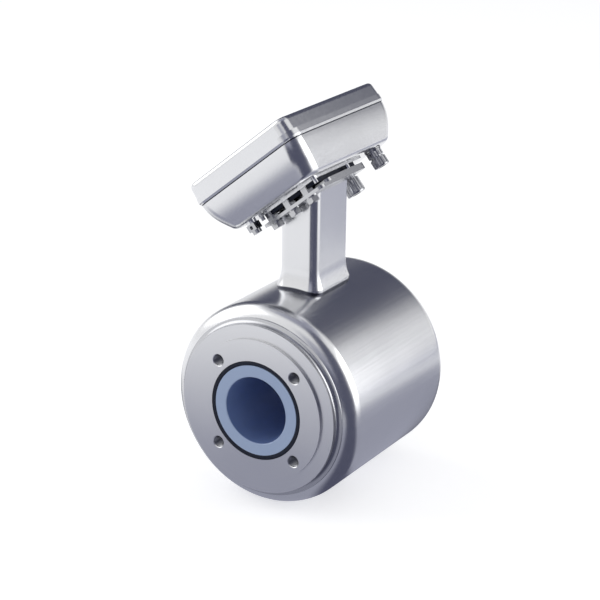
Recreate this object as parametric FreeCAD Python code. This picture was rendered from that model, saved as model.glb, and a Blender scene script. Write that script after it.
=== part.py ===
import FreeCAD, Part
import math
import os

from FreeCAD import Placement, Rotation, Vector

# Electromagnetic flow meter with a lined measuring tube in a round welded housing
# and a compact transmitter head that leans back on a flared rectangular neck.
# Millimetres. Y is the flow axis, Z is up, and the origin is the middle of the bore.

# Flow tube and liner
BORE_DIA = 47.4
FACE_TO_FACE = 147.0
LINER_WALL = 4.0
LINER_FLARE = 4.4
LINER_FLARE_THICKNESS = 4.0
BORE_EDGE_RADIUS = 0.8
TUBE_WALL = 2.4

# End plates, seals and threaded holes
END_PLATE_DIA = 120.6
END_PLATE_THICKNESS = 20.0
RAISED_FACE_DIA = 101.6
RAISED_FACE_HEIGHT = 1.2
SEAL_WIDTH = 3.1
SEAL_DEPTH = 3.6
SEAL_CLEARANCE = 0.05
BOLT_CIRCLE_DIA = 85.0
BOLT_COUNT = 4
TAP_DRILL_DIA = 6.8
THREAD_DEPTH = 14.0
THREAD_CHAMFER = 0.7
THREAD_CHAMFER_DEPTH = 0.45

# Housing shell with spun shoulders and narrow closing rings
END_STEP = 7.0
CLOSING_RING_WIDTH = 3.3
CLOSING_RING_DEPTH = 2.4
CLOSING_RING_EDGE = 0.7
SHOULDER_RISE = 8.0
SHOULDER_RADIUS = 11.8
HOUSING_WALL = 2.5

# Electrodes with their insulating bushes, disc springs and nuts
ELECTRODE_HEAD_DIA = 8.0
ELECTRODE_HEAD_HEIGHT = 1.5
ELECTRODE_STEM_DIA = 4.0
ELECTRODE_STEM_LENGTH = 15.0
ELECTRODE_FIT = 0.1
AUXILIARY_ELECTRODE_Y = 38.0
BUSH_WALL = 2.4
BUSH_FLANGE = 2.0
BUSH_FLANGE_THICKNESS = 1.5
DISC_SPRING_HEIGHT = 2.0
DISC_SPRING_DIA = 11.0
ELECTRODE_NUT_FLATS = 7.0
ELECTRODE_NUT_HEIGHT = 3.0
SEAT_CLEARANCE = 0.3

# Field coils with pole shoes, cores, bobbins and the return yoke
POLE_SHOE_THICKNESS = 2.4
POLE_SHOE_LENGTH = 44.0
POLE_SHOE_ANGLE = 100.0
CORE_DIA = 16.0
BOBBIN_HEIGHT = 14.0
BOBBIN_WALL = 1.2
COIL_DIA = 38.0
BOBBIN_LIFT = 2.0
YOKE_GAP = 5.0
YOKE_THICKNESS = 2.5
YOKE_WIDTH = 28.0

# Neck
NECK_WIDTH = 29.4
NECK_DEPTH = 45.0
NECK_CORNER = 6.0
NECK_WALL = 2.0
NECK_HEIGHT = 129.7
NECK_FLARE_REACH = 2.8
NECK_FLARE_HEIGHT = 13.5
NECK_FOOT_HEIGHT = 3.5
GROMMET_LIFT = 8.0
GROMMET_HEIGHT = 7.0
CABLE_PASSAGE_DIA = 12.0

# Head placement on the neck
HEAD_TILT = 39.2
HEAD_SHIFT = 5.4

# Neck flange, its gasket and its front lip with three bolts
FLANGE_THICKNESS = 4.6
FLANGE_CORNER = 4.0
FLANGE_LOW_MARGIN = 4.8
FLANGE_HIGH_MARGIN = 15.3
FLANGE_SIDE_MARGIN = 2.2
LIP_DEPTH = 10.5
LIP_THICKNESS = 2.2
GASKET_THICKNESS = 0.9
GASKET_MARGIN = 1.5
PASSAGE_WIDTH = 22.0
PASSAGE_DEPTH = 30.0
PASSAGE_CORNER = 4.0
FLANGE_BOLT_DIA = 5.0
FLANGE_BOLT_FLATS = 8.0
FLANGE_BOLT_HEAD = 3.6
FLANGE_BOLT_SPACING = 17.6
FLANGE_BOLT_SHIFT = 3.4
FLANGE_BOLT_INSET = 5.3
FLANGE_BOLT_ENGAGEMENT = 4.5
WASHER_DIA = 9.6
WASHER_THICKNESS = 0.9
HOLE_CLEARANCE = 0.25

# Transmitter pan
HEAD_WIDTH = 98.0
HEAD_LENGTH = 126.0
HEAD_CORNER = 11.0
PAN_DEPTH = 25.4
PAN_WALL = 2.2
PAN_FLOOR = 2.6
PAN_RIM_INSET = 0.7
PAN_CREASE_DEPTH = 9.8
PAN_CREASE_INSET = 1.5
PAN_CREASE_RADIUS = 4.0
PAN_BOTTOM_INSET = 8.7
PAN_BOTTOM_RADIUS = 2.6
PAD_HEIGHT = 3.0
PAD_FRONT_MARGIN = 8.0
PAD_WIDTH = 56.0
PAD_SHIFT = 2.0
PAD_CORNER = 7.0

# Cover with a raised crown and a window
COVER_RIM_HEIGHT = 5.2
COVER_LIP = 1.5
COVER_LIP_INSET = 0.8
COVER_HEIGHT = 16.4
CROWN_LEDGE = 1.2
CROWN_DRAFT = 0.4
CROWN_CORNER = 8.0
CROWN_RADIUS = 3.2
COVER_WALL = 2.2
COVER_GASKET_THICKNESS = 0.7
COVER_GASKET_INSET = 0.5
SCREW_BOSS_DIA = 10.0
SCREW_INSET = 13.0
COVER_SCREW_DIA = 4.0
COVER_SCREW_HEAD_DIA = 7.0
COVER_SCREW_HEAD_HEIGHT = 4.0
COVER_SCREW_SOCKET = 3.0
COVER_SCREW_ENGAGEMENT = 8.0

# Display behind the window
WINDOW_SIDE_INSET = 31.0
WINDOW_END_INSET = 33.0
WINDOW_CORNER = 4.0
WINDOW_OVERLAP = 3.0
WINDOW_THICKNESS = 3.5
WINDOW_GASKET_THICKNESS = 0.6
WINDOW_FRAME_THICKNESS = 2.0
WINDOW_FRAME_OVERLAP = 2.0
SCREEN_THICKNESS = 3.5
SCREEN_GAP = 0.3
DISPLAY_POST_DIA = 5.0

# Boards, their standoffs and terminal blocks inside the pan
BOARD_THICKNESS = 1.6
BOARD_CLEARANCE = 1.0
MAIN_BOARD_LENGTH = 62.0
TERMINAL_BOARD_LENGTH = 30.0
BOARD_GAP = 3.0
BOARD_LIFT = 12.0
BOARD_SCREW_INSET = 4.0
STANDOFF_FLATS = 5.5
BOARD_SCREW_DIA = 3.0
BOARD_SCREW_HEAD_DIA = 5.5
BOARD_SCREW_HEAD_HEIGHT = 2.0
TERMINAL_BLOCK_COUNT = 2
TERMINAL_BLOCK_WIDTH = 28.0
TERMINAL_BLOCK_DEPTH = 10.0
TERMINAL_BLOCK_HEIGHT = 9.0
TERMINAL_PITCH = 5.0
TERMINAL_HOLE_DIA = 3.0

# Cable glands, sized by the diameter of their nuts
POWER_GLAND_DIA = 13.8
POWER_GLAND_NUT = 11.0
SIGNAL_GLAND_DIA = 11.4
SIGNAL_GLAND_NUT = 6.6
GLAND_THREAD_RATIO = 0.8
GLAND_CABLE_RATIO = 0.48
GLAND_SLEEVE_RATIO = 0.64
GLAND_BODY_RATIO = 0.42
GLAND_TAIL_RATIO = 0.4
GLAND_GAP_RATIO = 0.08
GLAND_SPACING = 29.6
GLAND_EDGE_INSET = 7.9
GLAND_FLANGE_GAP = 3.5
GLAND_WASHER_THICKNESS = 1.0
GLAND_WASHER_REACH = 0.4
GRIP_FLUTES = 14
GRIP_FLUTE_DEPTH = 0.4

# Earth terminal under the pan
EARTH_SIDE_INSET = 13.7
EARTH_FRONT_INSET = 8.0
EARTH_BOSS_DIA = 7.4
EARTH_BOSS_HEIGHT = 2.0
EARTH_CLAMP_SIZE = 7.0
EARTH_CLAMP_HEIGHT = 5.0
EARTH_WIRE_DIA = 2.6
EARTH_SCREW_DIA = 4.0
EARTH_SCREW_HEAD_DIA = 6.6
EARTH_SCREW_HEAD_HEIGHT = 2.6
EARTH_SCREW_ENGAGEMENT = 3.4

# Places worked out from the sizes above
half_length = FACE_TO_FACE / 2
bore_r = BORE_DIA / 2
liner_r = bore_r + LINER_WALL
tube_r = liner_r + TUBE_WALL
flare_r = liner_r + LINER_FLARE
seal_r = flare_r + SEAL_WIDTH
plate_r = END_PLATE_DIA / 2
ring_r = plate_r + CLOSING_RING_WIDTH
housing_r = ring_r + SHOULDER_RISE
shoulder_centre_r = housing_r - SHOULDER_RADIUS
shoulder_centre_y = half_length - END_STEP - SHOULDER_RADIUS
shoulder_start = math.acos((SHOULDER_RADIUS - SHOULDER_RISE) / SHOULDER_RADIUS)

shoe_r = tube_r + POLE_SHOE_THICKNESS
bobbin_bottom = shoe_r + BOBBIN_LIFT
bobbin_top = bobbin_bottom + BOBBIN_HEIGHT
bobbin_r = COIL_DIA / 2 + BOBBIN_WALL
yoke_r = bobbin_top + YOKE_GAP

neck_rise = NECK_WIDTH / 2 / math.cos(math.radians(HEAD_TILT))
flange_low = -neck_rise - FLANGE_LOW_MARGIN
flange_high = neck_rise + FLANGE_HIGH_MARGIN
flange_back = NECK_DEPTH / 2 + FLANGE_SIDE_MARGIN
lip_front = -flange_back - LIP_DEPTH
pad_bottom = FLANGE_THICKNESS + GASKET_THICKNESS
pan_bottom = pad_bottom + PAD_HEIGHT
floor_top = pan_bottom + PAN_FLOOR
seam = pan_bottom + PAN_DEPTH
cover_bottom = seam + COVER_GASKET_THICKNESS
cover_top = seam + COVER_HEIGHT
crown_bottom = cover_bottom + COVER_RIM_HEIGHT
ceiling = cover_top - COVER_WALL
bolt_y = lip_front + FLANGE_BOLT_INSET
board_width = HEAD_WIDTH - 2 * SCREW_INSET - SCREW_BOSS_DIA - 2 * BOARD_CLEARANCE
board_bottom = floor_top + BOARD_LIFT
board_top = board_bottom + BOARD_THICKNESS
window_width = HEAD_WIDTH - 2 * WINDOW_SIDE_INSET
window_length = HEAD_LENGTH - 2 * WINDOW_END_INSET
window_top = ceiling - WINDOW_GASKET_THICKNESS
window_bottom = window_top - WINDOW_THICKNESS
frame_bottom = window_bottom - WINDOW_FRAME_THICKNESS
screen_top = frame_bottom - SCREEN_GAP
display_board_top = screen_top - SCREEN_THICKNESS


# Small shape helpers

def face_from(start, steps):
    """Closed face in the XY plane: a step is a point, or a middle and an end point of an arc."""
    edges = []
    here = Vector(*start, 0)
    for step in list(steps) + [start]:
        if isinstance(step[0], tuple):
            end = Vector(*step[1], 0)
            edges.append(Part.Arc(here, Vector(*step[0], 0), end).toShape())
        else:
            end = Vector(*step, 0)
            if end.distanceToPoint(here) < 1e-6:
                continue
            edges.append(Part.LineSegment(here, end).toShape())
        here = end
    return Part.Face(Part.Wire(edges))


def turned(start, steps):
    """Solid turned about the flow axis from an outline of (radius, y) points."""
    return face_from(start, steps).revolve(Vector(0, 0, 0), Vector(0, 1, 0), 360)


def cylinder(diameter, height, z=0.0, x=0.0, y=0.0):
    return Part.makeCylinder(diameter / 2, height, Vector(x, y, z), Vector(0, 0, 1))


def tube(outer_dia, inner_dia, height, z=0.0, x=0.0, y=0.0):
    return cylinder(outer_dia, height, z, x, y).cut(cylinder(inner_dia, height, z, x, y))


def hexagon(flats, height, z=0.0, x=0.0, y=0.0):
    """Hexagonal prism with rounded-off corners on its far end, as on a bolt head."""
    corner = flats / math.sqrt(3)
    points = []
    for i in range(7):
        angle = math.radians(60 * i)
        points.append(Vector(x + corner * math.cos(angle), y + corner * math.sin(angle), z))
    return Part.Face(Part.makePolygon(points)).extrude(Vector(0, 0, height))


def rounded_wire(width, length, corner, z, x=0.0, y=0.0):
    """Rounded rectangle, width along X and length along Y, centred at x and y."""
    hx = width / 2
    hy = length / 2
    edges = []
    centres = ((hx - corner, hy - corner), (corner - hx, hy - corner),
               (corner - hx, corner - hy), (hx - corner, corner - hy))
    for i, (cx, cy) in enumerate(centres):
        ends = []
        for angle in (90 * i, 90 * i + 45, 90 * i + 90):
            turn = math.radians(angle)
            ends.append(Vector(x + cx + corner * math.cos(turn), y + cy + corner * math.sin(turn), z))
        edges.append(Part.Arc(*ends).toShape())
    sides = []
    for i in range(4):
        sides.append(edges[i])
        tail = edges[i].Vertexes[-1].Point
        head = edges[(i + 1) % 4].Vertexes[0].Point
        sides.append(Part.LineSegment(tail, head).toShape())
    return Part.Wire(sides)


def rounded_plate(width, length, corner, height, z=0.0, x=0.0, y=0.0):
    return Part.Face(rounded_wire(width, length, corner, z, x, y)).extrude(Vector(0, 0, height))


def stepped_loft(sections, x=0.0):
    """Straight-sided solid through rounded rectangles given as (width, length, corner, z)."""
    wires = [rounded_wire(w, l, c, z, x) for (w, l, c, z) in sections]
    return Part.makeLoft(wires, True, True)


def edges_at(shape, z, tolerance=0.01):
    """Edges that lie in one horizontal plane."""
    found = []
    for edge in shape.Edges:
        box = edge.BoundBox
        if abs(box.ZMin - z) < tolerance and abs(box.ZMax - z) < tolerance:
            found.append(edge)
    return found


def union(shapes):
    joined = shapes[0].multiFuse(shapes[1:])
    return joined.removeSplitter()


def mirrored_y(shape):
    return shape.mirror(Vector(0, 0, 0), Vector(0, 1, 0))


def in_head(shape):
    """Move a piece from the head's own frame to the meter's frame.

    The head's frame starts where the neck's axis meets the underside of the neck flange.
    Its X runs up the slope, its Y is the flow direction and its Z leaves the cover."""
    moved = shape.copy()
    moved.Placement = Placement(Vector(0, 0, NECK_HEIGHT), Rotation(Vector(0, 1, 0), -HEAD_TILT))
    return moved


# Flow tube

def bolt_positions():
    places = []
    for i in range(BOLT_COUNT):
        angle = math.radians(45 + 360 * i / BOLT_COUNT)
        places.append((BOLT_CIRCLE_DIA / 2 * math.cos(angle), BOLT_CIRCLE_DIA / 2 * math.sin(angle)))
    return places


def threaded_hole(x, z):
    """Blind hole from the inlet end face, with the chamfer of its thread mouth."""
    mouth = Vector(x, -half_length, z)
    inward = Vector(0, 1, 0)
    hole = Part.makeCylinder(TAP_DRILL_DIA / 2, THREAD_DEPTH, mouth, inward)
    wide = TAP_DRILL_DIA / 2 + THREAD_CHAMFER
    return hole.fuse(Part.makeCone(wide, TAP_DRILL_DIA / 2, THREAD_CHAMFER_DEPTH, mouth, inward))


def electrode_frames():
    """Places of the four electrodes: a rotation about the flow axis and a distance along it."""
    return ((90, 0), (-90, 0), (0, AUXILIARY_ELECTRODE_Y), (180, AUXILIARY_ELECTRODE_Y))


def at_electrode(shape, turn, y):
    placed = shape.copy()
    placed.Placement = Placement(Vector(0, y, 0), Rotation(Vector(0, 1, 0), turn))
    return placed


def end_plate():
    """Inlet end plate: raised face, threaded holes, and recess for the liner's flare and the seal."""
    face = -half_length
    step = face + RAISED_FACE_HEIGHT
    back = face + END_PLATE_THICKNESS
    recess = face + SEAL_DEPTH
    flare_seat = face + LINER_FLARE_THICKNESS
    raised_r = RAISED_FACE_DIA / 2
    outline = [(seal_r, recess), (seal_r, face), (raised_r, face), (raised_r, step),
               (plate_r, step), (plate_r, back), (liner_r, back), (liner_r, flare_seat),
               (flare_r, flare_seat)]
    plate = turned((flare_r, recess), outline)
    return plate.cut([threaded_hole(x, z) for x, z in bolt_positions()])


def measuring_tube():
    """Straight tube between the end plates, drilled for the electrodes' bushes."""
    back = half_length - END_PLATE_THICKNESS
    body = turned((liner_r, -back), [(tube_r, -back), (tube_r, back), (liner_r, back)])
    bush_dia = ELECTRODE_STEM_DIA + 2 * (BUSH_WALL + ELECTRODE_FIT)
    drill = cylinder(bush_dia, tube_r, bore_r)
    return body.cut([at_electrode(drill, turn, y) for turn, y in electrode_frames()])


def liner():
    """Liner with flared ends that lie flush in the end plates, and pockets for the electrodes."""
    face = half_length
    flare_seat = half_length - LINER_FLARE_THICKNESS
    e = BORE_EDGE_RADIUS
    inside = e * (1 - math.sqrt(0.5))
    outline = [((bore_r + inside, face - inside), (bore_r + e, face)),
               (flare_r, face), (flare_r, flare_seat), (liner_r, flare_seat),
               (liner_r, -flare_seat), (flare_r, -flare_seat), (flare_r, -face),
               (bore_r + e, -face), ((bore_r + inside, inside - face), (bore_r, e - face))]
    body = turned((bore_r, face - e), outline)
    head = cylinder(ELECTRODE_HEAD_DIA + 2 * ELECTRODE_FIT, bore_r + ELECTRODE_HEAD_HEIGHT)
    stem = cylinder(ELECTRODE_STEM_DIA + 2 * ELECTRODE_FIT, liner_r + 1)
    cutters = [at_electrode(head.fuse(stem), turn, y) for turn, y in electrode_frames()]
    return body.cut(cutters)


def seal():
    """Face seal around the liner's flare at the inlet end, with a rounded face."""
    inner = flare_r + SEAL_CLEARANCE
    outer = seal_r - SEAL_CLEARANCE
    front = -half_length
    back = SEAL_DEPTH - half_length
    edge = (outer - inner) / 3
    bend = edge * (1 - math.sqrt(0.5))
    outline = [((inner + bend, front + bend), (inner + edge, front)), (outer - edge, front),
               ((outer - bend, front + bend), (outer, front + edge)), (outer, back), (inner, back)]
    return turned((inner, front + edge), outline)


# Housing

def shoulder_point(radius, angle):
    """Point on the inlet shoulder, by the angle from the outermost radius towards the end."""
    r = shoulder_centre_r + radius * math.cos(angle)
    return (r, -shoulder_centre_y - radius * math.sin(angle))


def housing_shell():
    """Rolled shell between the shoulders, with the opening under the neck."""
    half = shoulder_centre_y
    inner = housing_r - HOUSING_WALL
    shell = turned((inner, -half), [(housing_r, -half), (housing_r, half), (inner, half)])
    opening = rounded_plate(NECK_WIDTH - 2 * NECK_WALL, NECK_DEPTH - 2 * NECK_WALL,
                            NECK_CORNER - NECK_WALL, housing_r)
    return shell.cut(opening)


def shoulder():
    """Spun shoulder that rounds the shell in to the inlet closing ring."""
    outer = SHOULDER_RADIUS
    inner = SHOULDER_RADIUS - HOUSING_WALL
    full = shoulder_start
    outline = [(shoulder_point(outer, full / 2), shoulder_point(outer, full))]
    outline.append(shoulder_point(inner, full))
    outline.append((shoulder_point(inner, full / 2), shoulder_point(inner, 0)))
    return turned(shoulder_point(outer, 0), outline)


def closing_ring():
    """Ring that closes the gap between the inlet end plate and its shoulder."""
    front = END_STEP - half_length
    back = front + CLOSING_RING_DEPTH
    e = CLOSING_RING_EDGE
    bend = e * (1 - math.sqrt(0.5))
    lip = shoulder_point(SHOULDER_RADIUS, shoulder_start)
    heel = shoulder_point(SHOULDER_RADIUS - CLOSING_RING_DEPTH, shoulder_start)
    outline = [((plate_r + bend, front + bend), (plate_r + e, front)),
               (ring_r - e, front), ((ring_r - bend, front + bend), lip), heel, (plate_r, back)]
    return turned((plate_r, front + e), outline)


# Electrodes, built along Z at the top of the tube

def electrode():
    head = cylinder(ELECTRODE_HEAD_DIA, ELECTRODE_HEAD_HEIGHT, bore_r)
    return head.fuse(cylinder(ELECTRODE_STEM_DIA, ELECTRODE_HEAD_HEIGHT + ELECTRODE_STEM_LENGTH, bore_r))


def electrode_bush():
    low = liner_r + ELECTRODE_FIT
    seat = tube_r + SEAT_CLEARANCE
    wide = ELECTRODE_STEM_DIA + 2 * BUSH_WALL
    body = cylinder(wide, seat - low, low)
    body = body.fuse(cylinder(wide + 2 * BUSH_FLANGE, BUSH_FLANGE_THICKNESS, seat))
    return body.cut(cylinder(ELECTRODE_STEM_DIA, housing_r))


def disc_spring():
    seat = tube_r + SEAT_CLEARANCE + BUSH_FLANGE_THICKNESS
    hole = ELECTRODE_STEM_DIA + 2 * ELECTRODE_FIT
    wide = Part.makeCone(DISC_SPRING_DIA / 2, hole / 2 + 1, DISC_SPRING_HEIGHT, Vector(0, 0, seat))
    return wide.cut(cylinder(hole, DISC_SPRING_HEIGHT, seat))


def electrode_nut():
    seat = tube_r + SEAT_CLEARANCE + BUSH_FLANGE_THICKNESS + DISC_SPRING_HEIGHT
    nut = hexagon(ELECTRODE_NUT_FLATS, ELECTRODE_NUT_HEIGHT, seat)
    return nut.cut(cylinder(ELECTRODE_STEM_DIA, ELECTRODE_NUT_HEIGHT, seat))


def at_all_electrodes(shape):
    return [at_electrode(shape, turn, y) for turn, y in electrode_frames()]


# Field coils

def pole_shoe():
    """Curved shoe on top of the tube that spreads the field."""
    half = POLE_SHOE_LENGTH / 2
    face = face_from((tube_r, -half), [(shoe_r, -half), (shoe_r, half), (tube_r, half)])
    shoe = face.revolve(Vector(0, 0, 0), Vector(0, 1, 0), POLE_SHOE_ANGLE)
    shoe.rotate(Vector(0, 0, 0), Vector(0, 1, 0), -90 - POLE_SHOE_ANGLE / 2)
    return shoe


def pole_core():
    """Soft iron core between the shoe and the yoke, with both ends cut to their curves."""
    core = cylinder(CORE_DIA, yoke_r, 0)
    inner = Part.makeCylinder(shoe_r, YOKE_WIDTH, Vector(0, -YOKE_WIDTH / 2, 0), Vector(0, 1, 0))
    outer = Part.makeCylinder(yoke_r, YOKE_WIDTH, Vector(0, -YOKE_WIDTH / 2, 0), Vector(0, 1, 0))
    return core.common(outer).cut(inner)


def bobbin():
    body = cylinder(CORE_DIA + 2 * BOBBIN_WALL, BOBBIN_HEIGHT, bobbin_bottom)
    body = body.fuse(cylinder(2 * bobbin_r, BOBBIN_WALL, bobbin_bottom))
    body = body.fuse(cylinder(2 * bobbin_r, BOBBIN_WALL, bobbin_top - BOBBIN_WALL))
    return body.cut(cylinder(CORE_DIA, bobbin_top))


def coil():
    height = BOBBIN_HEIGHT - 2 * BOBBIN_WALL
    return tube(COIL_DIA, CORE_DIA + 2 * BOBBIN_WALL, height, bobbin_bottom + BOBBIN_WALL)


def yoke_ring():
    half = YOKE_WIDTH / 2
    outer = yoke_r + YOKE_THICKNESS
    return turned((yoke_r, -half), [(outer, -half), (outer, half), (yoke_r, half)])


def upside_down(shape):
    turned_over = shape.copy()
    turned_over.rotate(Vector(0, 0, 0), Vector(0, 1, 0), 180)
    return turned_over


# Neck

def neck_path(z, offset=0.0):
    return rounded_wire(NECK_WIDTH + 2 * offset, NECK_DEPTH + 2 * offset, NECK_CORNER + offset, z)


def neck_flare():
    """Concave flare swept around the neck, upright at its top, with an upright foot below its lip."""
    reach = NECK_FLARE_REACH
    low = math.sqrt(housing_r ** 2 - (NECK_WIDTH / 2 + reach) ** 2) + NECK_FOOT_HEIGHT
    high = low + NECK_FLARE_HEIGHT
    deep = housing_r / 2
    radius = (reach ** 2 + NECK_FLARE_HEIGHT ** 2) / (2 * reach)
    half_turn = math.asin(NECK_FLARE_HEIGHT / radius) / 2
    outer = NECK_WIDTH / 2
    middle = Vector(outer + radius * (1 - math.cos(half_turn)), 0, high - radius * math.sin(half_turn))
    top = Vector(outer, 0, high)
    foot = Vector(outer + reach, 0, low)
    corners = [foot, Vector(outer + reach, 0, deep), Vector(outer - NECK_WALL / 2, 0, deep),
               Vector(outer - NECK_WALL / 2, 0, high), top]
    edges = [Part.Arc(top, middle, foot).toShape()]
    for start, end in zip(corners, corners[1:]):
        edges.append(Part.LineSegment(start, end).toShape())
    profile = Part.Wire(edges)
    path = neck_path(high)
    return path.makePipeShell([profile], True, False)


def neck():
    """Rectangular neck with a flared base, cut to the housing below and to the flange above."""
    tall = NECK_HEIGHT + NECK_WIDTH
    post = Part.Face(neck_path(0)).extrude(Vector(0, 0, tall))
    housing = Part.makeCylinder(housing_r, FACE_TO_FACE, Vector(0, -half_length, 0), Vector(0, 1, 0))
    hollow = Part.Face(neck_path(0, -NECK_WALL)).extrude(Vector(0, 0, tall))
    cap = in_head(rounded_plate(4 * tall, 4 * tall, NECK_CORNER, tall))
    return post.fuse(neck_flare()).cut([housing, hollow, cap]).removeSplitter()


def neck_grommet():
    """Rubber plug in the neck that the coil and electrode leads pass through."""
    low = housing_r + GROMMET_LIFT
    plug = Part.Face(neck_path(low, -NECK_WALL)).extrude(Vector(0, 0, GROMMET_HEIGHT))
    return plug.cut(cylinder(CABLE_PASSAGE_DIA, GROMMET_HEIGHT, low))


# Neck flange and its fasteners, in the head's frame

def flange_bolt_places():
    middle = HEAD_SHIFT - FLANGE_BOLT_SHIFT
    return [(middle + FLANGE_BOLT_SPACING * i, bolt_y) for i in (-1, 0, 1)]


def neck_flange():
    """Plate on top of the neck with a thin lip along its front for the bolts."""
    width = flange_high - flange_low
    centre = (flange_high + flange_low) / 2
    plate = rounded_plate(width, 2 * flange_back, FLANGE_CORNER, FLANGE_THICKNESS, 0, centre)
    lip_length = flange_back - lip_front
    lip_middle = flange_back - lip_length / 2
    lip = rounded_plate(width, lip_length, FLANGE_CORNER, LIP_THICKNESS, 0, centre, lip_middle)
    cutters = [rounded_plate(PASSAGE_WIDTH, PASSAGE_DEPTH, PASSAGE_CORNER, FLANGE_THICKNESS)]
    for x, y in flange_bolt_places():
        cutters.append(cylinder(FLANGE_BOLT_DIA + 2 * HOLE_CLEARANCE, FLANGE_THICKNESS, 0, x, y))
    return union([plate, lip]).cut(cutters)


def flange_gasket():
    low = max(flange_low, HEAD_SHIFT + PAD_SHIFT - PAD_WIDTH / 2) + GASKET_MARGIN
    high = min(flange_high, HEAD_SHIFT + PAD_SHIFT + PAD_WIDTH / 2) - GASKET_MARGIN
    length = 2 * (flange_back - GASKET_MARGIN)
    middle = (low + high) / 2
    sheet = rounded_plate(high - low, length, FLANGE_CORNER, GASKET_THICKNESS, FLANGE_THICKNESS, middle)
    return sheet.cut(rounded_plate(PASSAGE_WIDTH, PASSAGE_DEPTH, PASSAGE_CORNER, pad_bottom))


def flange_bolt(x, y):
    """Hexagon bolt from below, through the lip and its spacer into the pan's pad."""
    head_top = -WASHER_THICKNESS
    head = hexagon(FLANGE_BOLT_FLATS, FLANGE_BOLT_HEAD, head_top - FLANGE_BOLT_HEAD, x, y)
    cone = Part.makeCone(FLANGE_BOLT_FLATS / 2, FLANGE_BOLT_FLATS / 2 + FLANGE_BOLT_HEAD, FLANGE_BOLT_HEAD,
                         Vector(x, y, head_top - FLANGE_BOLT_HEAD))
    shank = cylinder(FLANGE_BOLT_DIA, pad_bottom + FLANGE_BOLT_ENGAGEMENT - head_top, head_top, x, y)
    return head.common(cone).fuse(shank)


def flange_washer(x, y):
    return tube(WASHER_DIA, FLANGE_BOLT_DIA + 2 * HOLE_CLEARANCE, WASHER_THICKNESS, -WASHER_THICKNESS, x, y)


def flange_spacer(x, y):
    """Hexagonal spacer between the lip and the pad."""
    nut = hexagon(FLANGE_BOLT_FLATS, pad_bottom - LIP_THICKNESS, LIP_THICKNESS, x, y)
    return nut.cut(cylinder(FLANGE_BOLT_DIA + 2 * HOLE_CLEARANCE, pad_bottom, 0, x, y))


# Transmitter pan, in the head's frame

def cover_screw_places():
    reach_x = HEAD_WIDTH / 2 - SCREW_INSET
    reach_y = HEAD_LENGTH / 2 - SCREW_INSET
    return [(HEAD_SHIFT + sx * reach_x, sy * reach_y) for sx in (-1, 1) for sy in (-1, 1)]


def glands():
    """Place, nut diameter and nut height of the power gland and of the signal gland."""
    y = flange_back + GLAND_FLANGE_GAP + GLAND_WASHER_REACH + POWER_GLAND_DIA / 2
    x = HEAD_SHIFT + HEAD_WIDTH / 2 - PAN_BOTTOM_INSET - GLAND_EDGE_INSET
    power = (x - GLAND_SPACING, y, POWER_GLAND_DIA, POWER_GLAND_NUT)
    signal = (x, y, SIGNAL_GLAND_DIA, SIGNAL_GLAND_NUT)
    return power, signal


def earth_place():
    x = HEAD_SHIFT - HEAD_WIDTH / 2 + PAN_BOTTOM_INSET + EARTH_SIDE_INSET
    y = -HEAD_LENGTH / 2 + PAN_BOTTOM_INSET + EARTH_FRONT_INSET
    return x, y


def board_screw_places(y_low, length):
    reach = board_width / 2 - BOARD_SCREW_INSET
    places = []
    for sx in (-1, 1):
        for y in (y_low + BOARD_SCREW_INSET, y_low + length - BOARD_SCREW_INSET):
            places.append((HEAD_SHIFT + sx * reach, y))
    return places


def boards():
    """Lowest y and length of the main board and of the terminal board."""
    total = MAIN_BOARD_LENGTH + BOARD_GAP + TERMINAL_BOARD_LENGTH
    main = (-total / 2, MAIN_BOARD_LENGTH)
    terminals = (total / 2 - TERMINAL_BOARD_LENGTH, TERMINAL_BOARD_LENGTH)
    return main, terminals


def all_board_screws():
    places = []
    for y_low, length in boards():
        places += board_screw_places(y_low, length)
    return places


def pan_section(inset, z, wall=0.0):
    shrink = 2 * (inset + wall)
    return (HEAD_WIDTH - shrink, HEAD_LENGTH - shrink, HEAD_CORNER - wall, z)


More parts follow.
